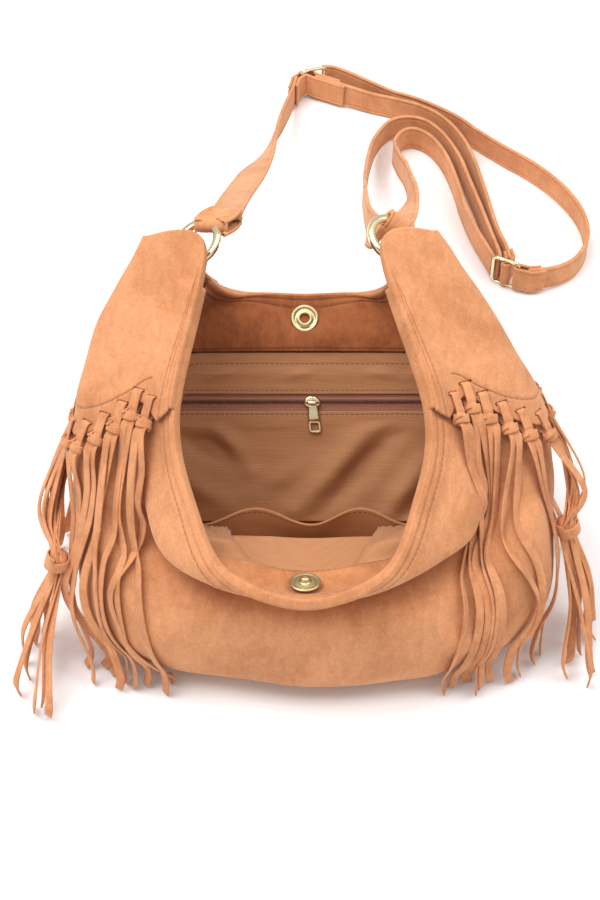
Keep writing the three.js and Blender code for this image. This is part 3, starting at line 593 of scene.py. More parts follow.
def wing_panel(side, columns):
    """A wing: the skin above its edge, standing off the body there, with a slit for each lace."""
    s = np.linspace(0.01, 0.99, columns)
    u1, low = edge_point(side, s)
    low = np.minimum(low, TOP - 0.04)
    v, drop, total = column_heights(u1, low, TOP, wing_rows)
    u = np.broadcast_to(u1, v.shape)
    p = skin(u, v)
    _, _, out, _ = skin_frame(u, v)
    raised = WING_LIFT * (1 - ease((v - low[None]) / 0.9))
    run = column_lengths(p)
    rim = total[None] - drop
    edge = np.minimum(np.minimum(drop, rim), np.minimum(run, run[:, -1:] - run) + 0.2)
    calm = ease((drop - 6) / 18) * ease(rim / 16)
    swell = ripples(p, 21 if side == "left" else 22, 60, 1.6) + ripples(p, 23, 26, 0.5)
    height = (0.9 + np.maximum(swell, -1.6)) * calm
    turn = u if side == "right" else STATIONS - u
    hemmed = np.maximum(ease((3.95 - turn) / 0.25), ease((turn - 6.1) / 0.3))
    height = height + hem_relief(rim) * 0.8 * ease(total / 30)[None] * hemmed
    height = height - 0.3 * bump_at(drop, 16.5, 0.9) * ease((total - 40) / 6)[None]
    half = rounded_edge(edge, SUEDE)
    middle = LAYER + SUEDE / 2 + raised
    outer = p + out * (middle + half + height)[..., None]
    inner = p + out * (middle - half + 0.5 * height)[..., None]
    keep = np.ones((v.shape[0] - 1, columns - 1), bool)
    centre = (outer[:-1, :-1] + outer[1:, :-1] + outer[:-1, 1:] + outer[1:, 1:]) / 4
    for at in LACE_FRAMES[side]:
        gap = centre - place(at, 0, WING_LIFT + 3)
        across = np.abs(gap @ at["along"]) < (LACE_WIDTH + 1.2) / 2
        keep &= ~(across & (np.abs(gap @ at["down"]) < 1.0) & (np.abs(gap @ at["out"]) < 6))
    uvs = {
        "rim": np.stack([run * MM, (rim - 7.6) * MM + 0.05 * (1 - hemmed)], -1),
        "lacing": np.stack([run * MM, (drop - 16.5) * MM + 0.05 * (1 - ease((total - 40) / 6))[None]], -1)}
    # On the left side the stations run the other way, so the grid is turned round.
    if side == "left":
        outer, inner, keep = outer[:, ::-1], inner[:, ::-1], keep[:, ::-1]
        uvs = {k: value[:, ::-1] for k, value in uvs.items()}
    return sheet_piece(f"wing_{side}_suede", outer, inner, keep, uvs, nodes=(f"wing_{side}",))


wings = {side: wing_panel(side, 300) for side in EDGE}


def wing_backing(side, columns=130):
    """The suede inside a wing, from half a step above the laced edge up to the rim."""
    u1, low = edge_point(side, np.linspace(0.01, 0.99, columns))
    low = np.minimum(low + 0.5, TOP - 0.04)
    v = mix(low[None], TOP, np.linspace(0, 1, 40)[:, None])
    u = np.broadcast_to(u1, v.shape)
    p = skin(u, v)
    out = skin_frame(u, v)[2]
    height = ripples(p, 31, 34, 0.25)
    outer = p + out * (0.2 + height * 0.3)[..., None]
    inner = p + out * (height - 2.1)[..., None]
    if side == "left":
        outer, inner = outer[:, ::-1], inner[:, ::-1]
    return sheet_piece(
        f"wing_backing_{side}_suede", outer, inner, slot="facing_suede", nodes=(f"wing_backing_{side}",))


for wing_side in EDGE:
    wing_backing(wing_side)


def level_height(u, z):
    """The height at each station where the skin, followed up, reaches a level."""
    v = np.linspace(3.2, TOP, 160)
    p = skin(u[None], v[:, None])[..., 2]
    climb = np.maximum.accumulate(p, 0)
    return np.array([np.interp(z[k], climb[:, k], v) for k in range(len(u))])


def rear_facing_low(u):
    """The rear facing's lower edge: level across the back, and falling to either side."""
    x = np.abs(skin(u, np.full(len(u), 5.0))[:, 0])
    return level_height(u, REAR_FACING_LEVEL - 9 * ease((x - 66) / 26))


REAR_FACING_LEVEL = 87.0


def facing_panel(name, start, end, columns, seed):
    """A suede band inside the mouth, its edge at the rim turned and stitched."""
    u1 = np.linspace(start, end, columns)
    if name == "facing_rear":
        low = np.minimum(rear_facing_low(u1), TOP - 0.3)
    else:
        low = lower(u1, np.full(columns, TOP), FACING_DEPTH)
    v = fine_heights(np.full(columns, 1.0), 44, 0.45, 24) * (TOP - low)[None] + low[None]
    u = np.broadcast_to(u1, v.shape)
    p = skin(u, v)
    out = skin_frame(u, v)[2]
    rise = np.linalg.norm(np.diff(p, axis=0), axis=-1)
    rim = np.concatenate([np.cumsum(rise[::-1], 0)[::-1], np.zeros((1, columns))])
    run = column_lengths(p)
    height = ripples(p, seed, 38, 1.0) * ease(rim / 12) + hem_relief(rim) * 0.7
    base = rim[:1] - rim
    height = height * ease(base / 6)
    half = rounded_edge(np.minimum(rim, base), FACING)
    middle = -FACING_OFF - FACING / 2
    outer = p + out * (middle + half - 0.4 * height)[..., None]
    inner = p + out * (middle - half - height)[..., None]
    if name == "facing_rear":
        share = ease((rim - 4) / (rim[:1] - 11))[..., None]
        thin = (FACING / 2 - half) + 0.0 * rim
        outer = mix(outer, lean_rear(outer, 1.3 + thin), share)
        inner = mix(inner, lean_rear(inner, 3.0 - thin + 0.6 * height), share)
    uvs = {
        "rim": np.stack([run * MM, (rim - 8.0) * MM], -1),
        "lacing": np.stack([run * MM, (base - 1.6) * MM], -1)}
    return sheet_piece(name + "_suede", outer, inner, uvs=uvs, slot="facing_suede", nodes=(name,))



def rim_roll(name, start, end, columns, depth, wide):
    """The turned edge of the mouth: an oval roll carried along the rim, over the suede and its facing."""
    u = np.linspace(start, end, columns)
    p = skin(u, np.full(columns, TOP))
    _, up, out, _ = skin_frame(u, np.full(columns, TOP))
    line = p + out * depth(u)[:, None] - up * 0.4
    points, faces = ribbon(line, out, wide(u), 3.2)
    return make_piece(name, points, faces)


rim_roll("mouth_roll_front", -3.7, 3.7, 300, lambda u: -2.9 + 0 * u, lambda u: 6.6 + 0 * u)
rim_roll("mouth_roll_rear", 7.2, 10.8, 170, lambda u: -2.9 + 0 * u, lambda u: 6.6 + 0 * u)
for wing_side, first, last in (("right", 3.0, 7.5), ("left", 15.0, 10.5)):
    start, end = min(first, last), max(first, last)
    roll = rim_roll(
        f"wing_roll_{wing_side}", start, end, 260, lambda u: 0.4 + 0 * u, lambda u: 5.6 + 0 * u)


# ---------------------------------------------------------------- lining and pockets
LINING_OFF = -FACING_OFF - FACING - 0.3 - LAYER
REAR_PLANE = 45.0
FRONT_FOLD = np.array(
    [(20, 8), (18, 30), (12, 48), (2, 60), (0, 65), (4, 71), (5, 75), (-6, 81), (-22, 88), (-38, 96)], float)


def front_lean(z):
    """How far forward the front lining leans at each height."""
    return np.interp(z, FRONT_FOLD[:, 1], FRONT_FOLD[:, 0])


def on_zip(x, up, out):
    """A point by the zip: along it, up the slope of the lining, and out from it."""
    x, up, out = np.broadcast_arrays(*(np.asarray(a, float) for a in (x, up, out)))
    h = math.sqrt(0.5)
    return np.stack([x, 111 + (up - out) * h, 66 + (up + out) * h], -1)


def zip_up(p):
    """How far up the slope from the zip: ((y - 111) + (z - 66)) / root 2."""
    return ((p[..., 1] - 111) + (p[..., 2] - 66)) * math.sqrt(0.5)


def lining_shape(u, v, off):
    """The lining inside the skin, drawn in from the side seams as it nears the mouth."""
    return skin(u, v) + skin_frame(u, v)[2] * off[..., None]


def lining_off(v, tuck):
    """How deep the lining lies under the skin: deep in the bag, and close behind a facing."""
    deep = LINING_OFF - 4.8 * ease(v - 3)
    return mix(deep, -3.0, ease((v - tuck) / 0.22))


def lean_rear(p, depth, loose=1.0):
    """The rear slope, y = z + a distance - depth * root 2, or the wall. loose is not used; it is for the
    front only.
    """
    plane = p[..., 2] + REAR_PLANE - depth * math.sqrt(2)
    share = (1 - ease((np.abs(p[..., 0]) - 84) / 10)) * (1 - ease((plane - p[..., 1] - 5) / 3))
    y = np.where(p[..., 1] < plane, mix(p[..., 1], plane, share), plane)
    return np.stack([p[..., 0], y, np.maximum(p[..., 2], 6)], -1)


def lean_front(p, depth, loose=1.0):
    """The greater of the front slope plus depth and the wall, fading to the wall at either side."""
    share = (1 - ease((np.abs(p[..., 0]) - 85) / 40)) * loose
    y = np.maximum(front_lean(p[..., 2]) + depth, p[..., 1])
    return np.stack([p[..., 0], mix(p[..., 1], y, share), np.maximum(p[..., 2], 6)], -1)


def lining_edges(u):
    """Where the lining stops at each station, and where it starts to tuck behind a facing."""
    station = np.mod(u, STATIONS)
    near = np.abs(np.where(station > 9, station - STATIONS, station))
    rear = (station > 7.05) & (station < 10.95)
    front_low = lower(u, np.full(len(u), TOP), FACING_DEPTH)
    low = np.where(rear, np.minimum(rear_facing_low(u), TOP - 0.3), front_low)
    scale = skin_frame(u, np.clip(low, 3, 5.9))[3]
    beyond = np.where(rear, 0.0, ease((near - 2.6) / 1.0))
    top = mix(np.minimum(low + np.where(rear, 2.0, 4.5) / scale, TOP - 0.1), 4.75, beyond)
    tuck = np.where(rear, 9.0, mix(low - 9.5 / scale, 9.0, ease((near - 3.3) / 0.6)))
    kernel = np.ones(9) / 9
    soften = lambda a: np.convolve(np.pad(a, 4, mode="edge"), kernel, mode="valid")
    return soften(top), soften(tuck)


def lining_panel(name, start, end, columns, lean, folds, seed, window=False):
    """Half of the lining, leaning into the bag, with its folds, and with the zip's window left open."""
    u1 = np.linspace(start, end, columns)
    top, tuck = lining_edges(u1)
    t = np.linspace(0, 1, 220)[:, None]
    guide = mix(0.3, top[None], t)
    if window:
        u = np.broadcast_to(u1, guide.shape)
        hung = lean(lining_shape(u, guide, lining_off(guide, tuck)), 0.0)
        seam = REAR_FACING_LEVEL + 1.5 - 9 * ease((np.abs(hung[-1, :, 0]) - 66) / 26)
        cut = np.array([np.interp(seam[k], hung[:, k, 2], guide[:, k]) for k in range(columns)])
        top = np.where((u1 > 7.3) & (u1 < 10.7), np.minimum(top, cut), top)
        up = zip_up(hung)
        levels = [
            np.array([np.interp(x, up[:, k], guide[:, k]) for k in range(columns)])
            for x in (-5.4, 5.4)]
        v = np.concatenate([
            mix(0.3, levels[0][None], np.linspace(0, 1, 70)[:, None]),
            mix(levels[0][None], levels[1][None], np.linspace(0, 1, 5)[1:-1, None]),
            mix(levels[1][None], top[None], np.linspace(0, 1, 46)[:, None])])
    else:
        v = mix(0.3, top[None], np.linspace(0, 1, 120)[:, None])
    u = np.broadcast_to(u1, v.shape)
    off = lining_off(v, tuck[None])
    loose = 1.0 if window else ease((tuck[None] + 0.08 - v) / 0.3)
    outer = lean(lining_shape(u, v, off), 0.0, loose)
    inner = lean(lining_shape(u, v, off - CLOTH), CLOTH, loose)
    deep = ease((top[None] - 0.25 - v) / 0.25) * ease(v / 0.6)
    calm = deep * (ease((np.abs(zip_up(outer)) - 11) / 8) if window else 1)
    height = (ripples(outer, seed, 40, 1.0) + ripples(outer, seed + 1, 15, 0.25)) * calm
    for begin, finish, width, size in folds:
        height = height + size * ridge(outer, begin, finish, width) * calm
    if window:
        height = np.maximum(height, -0.1 - 3.0 * ease((-14 - zip_up(outer)) / 12))
    away = unit(outer - inner)
    outer = outer - away * height[..., None]
    inner = inner - away * height[..., None]
    keep = np.ones((v.shape[0] - 1, columns - 1), bool)
    if window:
        x = np.abs(outer[69, :, 0])
        inside = (x[:-1] < 82.5) & (x[1:] < 82.5)
        keep[69:73, inside] = False
    run = np.cumsum(np.linalg.norm(np.diff(outer, axis=0, prepend=outer[:1]), axis=-1), 0)
    rows = run[-1:] - run - 7.2
    if window:
        beside_zip = np.abs(np.abs(zip_up(outer)) - 7.6)
        rows = np.minimum(np.abs(rows), np.where(np.abs(outer[..., 0]) < 84, beside_zip, 9))
    uvs = {
        "cloth": np.stack([column_lengths(outer)[60] * MM + 0 * run, run * MM], -1),
        "rim": np.stack([outer[..., 0] * MM, rows * MM], -1)}
    return sheet_piece(
        name + "_cloth", outer, inner, keep, uvs, slot="lining_cloth", nodes=(name,))


def zip_folds(*rows):
    """Folds given by their two ends on the slope of the zip."""
    return [(on_zip(*a, 0), on_zip(*b, 0), width, size) for a, b, width, size in rows]


REAR_LINING_FOLDS = zip_folds(
    ((-82, -22), (-42, -36), 7, -5.0), ((-56, -16), (-34, -44), 6, 4.5), ((-84, -44), (-52, -66), 8, 4.0),
    ((-6, -70), (46, -12), 8, 5.5), ((8, -74), (56, -20), 7, -5.0),
    ((54, -72), (76, -38), 7, 5.0), ((66, -72), (96, -40), 6, -5.0), ((-60, 14), (-40, 28), 5, 1.8),
    ((-14, 12), (8, 27), 5, 1.6), ((36, 27), (60, 13), 5, 1.6),
    ((-30, -56), (4, -38), 7, 2.2), ((70, 14), (96, 34), 6, 1.6), ((-96, 20), (-72, 36), 6, 1.6))
FRONT_LINING_FOLDS = [
    ((-60, -14, 76), (-10, -30, 88), 6, 2.0), ((10, -24, 84), (70, -8, 74), 7, 2.2),
    ((-20, 2, 62), (-16, -26, 86), 5, -2.4)]
facing_panel("facing_front", -3.2, 3.2, 240, 41)
facing_panel("facing_rear", 7.0, 11.0, 190, 43)
lining_rear = lining_panel("lining_rear", 5.09, 12.91, 260, lean_rear, REAR_LINING_FOLDS, 51, True)
lining_front = lining_panel("lining_front", -4.91, 4.91, 240, lean_front, FRONT_LINING_FOLDS, 55)


def slip_pocket_panel():
    """A cloth pocket on the front lining that gapes either side of a seam down its middle."""
    x, t = np.meshgrid(np.linspace(-64, 64, 170), np.linspace(0, 1, 60))
    gape = np.where(x < 4, np.sin(math.pi * (x - 4) / 68), np.sin(math.pi * (x - 4) / 60)) ** 2
    z = mix(16, 59 + 4 * gape, t)
    hang = np.interp(z, (8, 30, 48, 64), (20.5, 19, 17, 14))
    y = hang + CLOTH + 1.6 + 10.5 * gape * t * t
    away = np.linspace(44, 0, 60)[:, None] + 0 * x
    hem = 0.35 * bump_at(away, 1.2, 1.2) - 0.2 * bump_at(away, 2.6, 0.6)
    p = np.stack([x, y, z], -1)
    p[..., 1] += ripples(p, 61, 22, 0.5) * (1 - t**4)
    half = rounded_edge(away, 1.4)
    outer = p + np.array([0, 1, 0]) * (0.6 + half + hem)[..., None]
    inner = p + np.array([0, 1, 0]) * (0.6 - half)[..., None]
    uvs = {"rim": np.stack([x * MM, (away - 2.6) * MM], -1)}
    return sheet_piece(
        "slip_pocket_cloth", outer[:, ::-1], inner[:, ::-1], uvs={k: q[:, ::-1] for k, q in uvs.items()},
        slot="lining_cloth", nodes=("slip_pocket",))


slip_pocket = slip_pocket_panel()


# ---------------------------------------------------------------- zip
def zip_tape(name, way):
    """A tape: a strip with a bead at its inner edge, from the coil out under the lining."""
    x, t = np.meshgrid(np.linspace(-80, 80, 240), np.linspace(0, 1, 16))
    up = way * mix(1.2, 9.0, t)
    bead = 0.22 * bump_at(t, 0.1, 0.1) - 0.12 * bump_at(t, 0.28, 0.05) + 0.1 * bump_at(t, 0.45, 0.12)
    outer = on_zip(x, up, -0.35 + bead)
    inner = on_zip(x, up, -1.25)
    if way < 0:
        outer, inner = outer[::-1], inner[::-1]
    uvs = {"cloth": np.stack([x * MM, up * MM], -1)}
    return sheet_piece(name + "_cloth", outer, inner, uvs=uvs, slot="zip_tape", nodes=(name,))


zip_tape("zip_tape_upper", 1)
zip_tape("zip_tape_lower", -1)


def coil_row(way):
    """One row of the zip's coil: a rounded link every 1.3 mm, side by side along the tape's edge."""
    spots = np.arange(-79.4, 79.5, 1.3)
    around = np.linspace(0, 2 * math.pi, 8, endpoint=False)
    parts = []
    for x in spots + (0.65 if way > 0 else 0):
        up = np.array([0.12, 0.35, 1.35, 1.75]) * way
        size = np.array([0.25, 0.5, 0.5, 0.2])
        c = np.cos(around)[None] * size[:, None] * 0.95
        s = np.sin(around)[None] * size[:, None] * 0.8
        ring = on_zip(x + c * way, np.broadcast_to(up[:, None], c.shape), s - 0.35)
        parts.append(swept(ring))
    return merged(parts)


coil_parts = merged([coil_row(1), coil_row(-1)])
zip_coil = make_piece("zip_coil", *coil_parts, slot="zip_tape")


def egg(x, size):
    """Half the slider's width along it: round at the back, blunt at the mouth."""
    t = np.clip(x / size, -1, 1)
    return np.sqrt(np.maximum(1 - t**2, 0)) ** 0.8 * (1 - 0.16 * t)


def plate_solid(half_long, half_wide, out0, out1, middle_x, dome=0.0):
    """A domed plate: the egg outline carried through its thickness, with its rims rounded."""
    angle = np.linspace(0, 2 * math.pi, 40, endpoint=False)
    x = np.cos(angle) * half_long
    w = np.sin(angle) * half_wide * (1 - 0.14 * np.cos(angle))
    levels = [(0.86, out0), (0.97, out0 + 0.12), (1, out0 + 0.35), (1, out1 - 0.4), (0.95, out1 - 0.12),
              (0.82, out1), (0.45, out1 + dome * 0.8), (0.12, out1 + dome)]
    rings = np.stack([on_zip(middle_x + x * k, w * k, out) for k, out in levels])
    return swept(rings)


SLIDER_X = 5.0
slider_parts = [
    plate_solid(5.4, 3.9, 0.3, 1.45, SLIDER_X, 0.35),
    plate_solid(5.2, 3.8, -2.7, -1.6, SLIDER_X)]
bail_line = on_zip(
    SLIDER_X + np.array([-3.9, -3.9, -3.5, -2.4, -1, 1, 2.4, 3.5, 3.9, 3.9]), 0.0,
    np.array([1.2, 3.2, 4.1, 4.6, 4.75, 4.75, 4.6, 4.1, 3.2, 1.2]) - 0.15)
slider_parts.append(ribbon(even_path(bail_line, 0.5), on_zip(0, 1, 0) - on_zip(0, 0, 0), 1.5, 0.95))
post = np.linspace(-1.7, 0.5, 4)
slider_parts.append(ribbon(on_zip(SLIDER_X, 0.0, post), np.array([1.0, 0, 0]), 2.4, 1.4))
slider = make_piece("slider_metal", *merged(slider_parts), body="slider", slot="metal", nodes=("zip_slider",))


def pull_plate():
    """The pull: a sleeve on the bail and a tapered plate, as a rim round a window and a solid shank."""
    lean = math.radians(8)
    h = math.cos(lean), math.sin(lean)

    def at(x, y, z):
        x, y, z = np.broadcast_arrays(*(np.asarray(a, float) for a in (x, y, z)))
        x = x - 0.1 * (y + 1) * (y < -1)
        return on_zip(SLIDER_X + x, y * h[0] - z * h[1], 4.6 + y * h[1] + z * h[0])

    rows = np.array([-1.3, -2.2, -3.4, -6, -10, -13.0])
    wide = np.array([2.4, 2.9, 3.2, 3.4, 3.75, 3.9])
    shank = ribbon(at(0, rows, 0), np.array([1.0, 0, 0]), wide * 2, 1.3)
    t = np.linspace(0, 2 * math.pi, 48, endpoint=False)
    square = lambda a: np.sign(a) * np.abs(a) ** 0.35
    window = at(square(np.cos(t)) * 3.1, -15.6 + square(np.sin(t)) * 3.2, 0)
    rim = ribbon(window, unit(window - at(0, -15.6, 0)), 1.7, 1.35, closed=True)
    turn = np.linspace(0, 2 * math.pi, 24, endpoint=False)
    sleeve = at(0, np.cos(turn) * 1.55, np.sin(turn) * 1.55)
    curl = ribbon(sleeve, np.array([1.0, 0, 0]), 4.2, 0.7, closed=True)
    return merged([shank, rim, curl])


pull = make_piece("pull_metal", *pull_plate(), body="pull", slot="metal", nodes=("zip_pull",))


# ---------------------------------------------------------------- rings, snap and adjusters
RINGS = {
    "left": ((-64.2, 131.2, 186), (-0.47, -0.173, 0.865)),
    "right": ((51.6, 134.7, 186), (0.47, -0.173, 0.865))}
RING_MID = 14.0


def ring_piece(side):
    """A round ring: a flattened section carried round a circle."""
    centre, normal = (np.array(a, float) for a in RINGS[side])
    normal = unit(normal)
    first = unit(np.cross(normal, (0, 1, 0)))
    second = np.cross(normal, first)
    t = np.linspace(0, 2 * math.pi, 120, endpoint=False)[:, None]
    radial = np.cos(t) * first + np.sin(t) * second
    points, faces = ribbon(centre + RING_MID * radial, radial, 4.9, 3.9, closed=True)
    return make_piece(
        f"ring_{side}_metal", points, faces, body=f"{side}_ring", slot="metal", nodes=(f"ring_{side}",))


for ring_side in RINGS:
    ring_piece(ring_side)

FACING_IN = -FACING_OFF - FACING


def snap_half(name, u, drop, offset, profile):
    """Half of the magnetic snap, turned about the line square to its facing."""
    v = float(lower(np.array([u]), np.array([TOP]), drop)[0])
    out = skin_frame(u, v)[2]
    points, faces = turned(profile, skin(u, v) + out * offset, -out)
    return make_piece(name + "_metal", points, faces, slot="metal", nodes=(name,))


MALE = [
    (0, 0), (8.3, 0), (8.9, 0.3), (9, 0.8), (8.7, 1.3), (8.1, 1.5), (7.3, 1.35), (6.9, 1.15), (6.4, 1.15),
    (5.8, 1.4), (5, 1.5), (3.9, 1.5), (3.2, 1.65), (2.85, 2.1), (2.7, 3.0), (2.6, 3.7), (2.2, 4.2),
    (1.4, 4.45), (0, 4.5)]
FEMALE = [
    (0, 0), (8.4, 0), (8.9, 0.4), (9, 1.2), (9, 2.4), (8.7, 3.1), (8.0, 3.4), (7.2, 3.3), (6.7, 3.0),
    (6.2, 2.75), (5.6, 2.8), (5.0, 3.05), (4.4, 3.35), (3.7, 3.4), (3.1, 3.2), (2.85, 2.6), (2.8, 1.3),
    (2.3, 1.0), (1.6, 1.3), (0.9, 1.5), (0, 1.5)]
snap_half("snap_front", 0.0, 21.0, FACING_IN - 2.4, MALE)
snap_half("snap_rear", 9.0, 15.5, FACING_IN - 0.9, FEMALE)

ADJUSTERS = {"left": (8.0, 503.5, 15.0), "right": (146.0, 284.0, -27.0)}


def adjuster_point(side, x, z):
    """A point in an adjuster's own plane: along its length, and up from its middle."""
    cx, cy, degrees = ADJUSTERS[side]
    a = math.radians(degrees)
    x, z = np.broadcast_arrays(np.asarray(x, float), np.asarray(z, float))
    return np.stack([cx + x * math.cos(a), cy + x * math.sin(a), 13.3 + z], -1)


def adjuster_piece(side):
    """A slide adjuster: a rounded bar bent into a rounded rectangle, with a bar across its middle."""
    corner = np.linspace(0, math.pi / 2, 9)
    x = np.concatenate([np.cos(corner + q) * 3 + s for q, s in zip(
        np.arange(4) * math.pi / 2, (6.8, -6.8, -6.8, 6.8))])
    z = np.concatenate([np.sin(corner + q) * 3 + s for q, s in zip(
        np.arange(4) * math.pi / 2, (8.8, 8.8, -8.8, -8.8))])
    line = even_path(adjuster_point(side, x, z), 1.1, closed=True)
    middle = adjuster_point(side, 0, 0)
    frame_part = ribbon(line, unit(line - middle), 2.3, 2.3, closed=True)
    bar = adjuster_point(side, 0, np.linspace(-11.6, 11.6, 12))
    bar_part = ribbon(bar, adjuster_point(side, 1, 0) - middle, 2.2, 2.2)
    return make_piece(
        f"adjuster_{side}_metal", *merged([frame_part, bar_part]), slot="metal",
        nodes=(f"adjuster_{side}",))


adjusters = {side: adjuster_piece(side) for side in ADJUSTERS}


def fold_round(path, bar, back, turn_radius, heights):
    """A strap's end turned round a bar: along one face, half round the bar, and back along the other."""
    run = unit(path[0] - path[4])
    side = strap_sides(path[:1], heights)[0]
    side = unit(side - (side @ run) * run)
    face = np.cross(run, side)
    spread = turn_radius
    angle = np.linspace(-math.pi / 2, math.pi / 2, 13)
    arc = bar + np.cos(angle)[:, None] * run * spread + np.sin(angle)[:, None] * face * spread
    far = np.linspace(back, 1.5, 12)
    near = np.array([np.interp(far, np.arange(len(path)) * 2.0, path[:, k]) for k in range(3)]).T
    blend_in = ease(1 - (far - 1.5) / 8)[:, None]
    below = near - face * (STRAP_THICK * 0.97 + (spread - STRAP_THICK * 0.97) * blend_in)
    above = near + face * (STRAP_THICK * 0.97 + (spread - STRAP_THICK * 0.97) * blend_in)
    line = even_path(np.concatenate([below, arc, above[::-1][:9]]), 1.2)
    return strap_strip(line, np.broadcast_to(side, line.shape), STRAP_WIDTH, STRAP_THICK * 0.8)


def strap_fold(name, strap, at_end, bar, back, turn_radius):
    """A folded end as its own piece, lying on its strap."""
    path = strap_paths[strap][::-1] if at_end else strap_paths[strap]
    heights = STRAP_TURNED.get(strap, FLAT_ON_TABLE)
    points, faces, uv = fold_round(path, np.asarray(bar, float), back, turn_radius, heights)
    return make_piece(name, points, faces, uvs={"strap": uv})


def ring_bar(side, toward):
    """The middle of a ring's band on the side of a strap."""
    centre, normal = (np.array(a, float) for a in RINGS[side])
    normal = unit(normal)
    line = np.asarray(toward, float) - centre
    return centre + RING_MID * unit(line - (line @ normal) * normal)


def through_ring(name, coming, going, ring):
    """A strap's turn through a ring: up through the hole, over the band and away, narrowed on the way."""
    centre, normal = (np.array(a, float) for a in RINGS[ring])
    normal = unit(normal)
    first, last = strap_paths[coming], strap_paths[going][::-1]
    away = last[0] - centre
    away = unit(away - (away @ normal) * normal)
    turn = [centre + away * 7.2 - normal * 4.0, centre + away * 8.4 + normal * 2.0,
            centre + away * 13.8 + normal * 4.6, centre + away * 17.5 + normal * 1.0]
    marks = np.array([first[-5], first[-3], *turn, last[2], last[4]])
    line = even_path(spline(marks, np.linspace(0, 7, 80)), 1.0)
    s = np.linspace(0, 1, len(line))
    across = unit(np.cross(normal, away))
    begin = strap_sides(first[-3:-2], STRAP_TURNED[coming])[0]
    finish = strap_sides(last[2:3], STRAP_TURNED[going])[0]
    across = across if across @ begin > 0 else -across
    finish = finish if across @ finish > 0 else -finish
    side = mix(begin, across, ease(s / 0.45)[:, None])
    side = unit(mix(side, finish, ease((s - 0.6) / 0.4)[:, None]))
    width = STRAP_WIDTH * (1 - 0.22 * bump_at(s, 0.45, 0.25))
    points, faces, uv = strap_strip(line, side, width, STRAP_THICK)
    return make_piece(name, points, faces, uvs={"strap": uv})


folds = {
    "strap_left": [
        strap_fold("strap_left_ring_fold", "strap_left", False, ring_bar("left", ROUTES["strap_left"][0]),
                   14.0, 3.7),
        strap_fold("strap_left_bar_fold", "strap_left", True, adjuster_point("left", -9.8, 0), 16.0, 2.9)],
    "strap_link": [
        strap_fold("strap_link_bar_fold", "strap_link", False, adjuster_point("left", -4.0, 0), 26.0, 2.9),
        strap_fold("strap_link_end_fold", "strap_link", True, adjuster_point("right", 0, 0), 9.0, 2.7)],
    "strap_loop": [
        strap_fold("strap_loop_end_fold", "strap_loop", True, adjuster_point("right", 9.8, 0), 12.0, 2.9)],
    "strap_outer": [through_ring("strap_outer_ring_fold", "strap_outer", "strap_inner", "right")],
}


# ---------------------------------------------------------------- laces
def body_samples():
    """Points and outward directions over the whole skin, for keeping the laces off it."""
    u, v = np.meshgrid(np.linspace(0, 18, 241)[:-1], np.linspace(0, 6, 90))
    return skin(u, v).reshape(-1, 3), skin_frame(u, v)[2].reshape(-1, 3)


SKIN_POINTS, SKIN_OUT = body_samples()
skin_tree = KDTree(len(SKIN_POINTS))
for index, spot in enumerate(SKIN_POINTS):
    skin_tree.insert(spot, index)
skin_tree.balance()


def clear_of_body(path, off, first=0):
    """The path pushed out where it comes closer to the skin than off, then smoothed."""
    path = path.copy()
    for _ in range(2):
        for k in range(first, len(path)):
            _, i, _ = skin_tree.find(path[k])
            gap = float((path[k] - SKIN_POINTS[i]) @ SKIN_OUT[i])
            if gap < off:
                path[k] += SKIN_OUT[i] * (off - gap)
        inner = (path[:-2] + path[1:-1] * 2 + path[2:]) / 4
        path[1:-1] = inner
    path[:, 2] = np.maximum(path[:, 2], 2.4)
    return path


def lace_loop(at):
    """The folded part: out of the knot, up over the edge to the slot, in, and back down beneath."""
    under = LACE_THICK / 2 + 0.25
    over = WING_LIFT + SUEDE + LAYER + LACE_THICK / 2 + 0.5
    stops = [
        (KNOT_DROP, KNOT_OUT), (SLOT_DROP + 3, over + 0.3), (SLOT_DROP, over + 0.25), (4, over + 0.15),
        (1.2, over), (0.1, over - 1), (0, over - 2.4), (0, under + 1), (1.4, under), (4.5, under),
        (SLOT_DROP + 2, under), (KNOT_DROP - 2, KNOT_OUT - 1.2)]
    line = even_path(np.array([place(at, d, o) for d, o in stops]), 0.9)
    wide = LACE_WIDTH * (0.94 + 0.06 * np.cos(np.linspace(0, 9, len(line))))
    return ribbon(line, at["along"], wide, LACE_THICK)


def lace_knot(at, seed):
    """An overhand knot: a core, a ribbon wound round it, and one turn crossing over that."""
    rng = np.random.default_rng(seed)
    tilt = rng.uniform(-0.28, 0.28)
    middle = place(at, KNOT_DROP, KNOT_OUT)
    axis = unit(at["down"] + tilt * at["along"])
    first = unit(at["along"] - (at["along"] @ axis) * axis)
    second = np.cross(axis, first)
    turn = np.linspace(0.2, 2 * math.pi * 1.35, 40)
    climb = np.linspace(-0.9, 0.9, 40)
    line = middle + np.cos(turn)[:, None] * first * 4.5 + np.sin(turn)[:, None] * second * 3.2
    line = line + climb[:, None] * axis
    wrap = ribbon(line, axis, 5.2 - 1.2 * np.abs(climb), LACE_THICK)
    cross_turn = np.linspace(-0.9, 2.3, 22)
    lean = unit(axis + 0.75 * first)
    cross_line = middle + np.cos(cross_turn)[:, None] * first * 4.6
    cross_line = cross_line + np.sin(cross_turn)[:, None] * second * 3.9
    cross_line = cross_line + (cross_turn - 0.7)[:, None] * 1.5 * axis
    cross = ribbon(cross_line, lean, 4.0, LACE_THICK)
    core_line = middle + np.linspace(-4.4, 4.4, 9)[:, None] * axis
    fat = np.array([0.35, 0.75, 0.95, 1, 1, 1, 0.95, 0.75, 0.4])
    core = ribbon(core_line, first, 6.6 * fat, 4.9 * fat)
    return [wrap, cross, core]


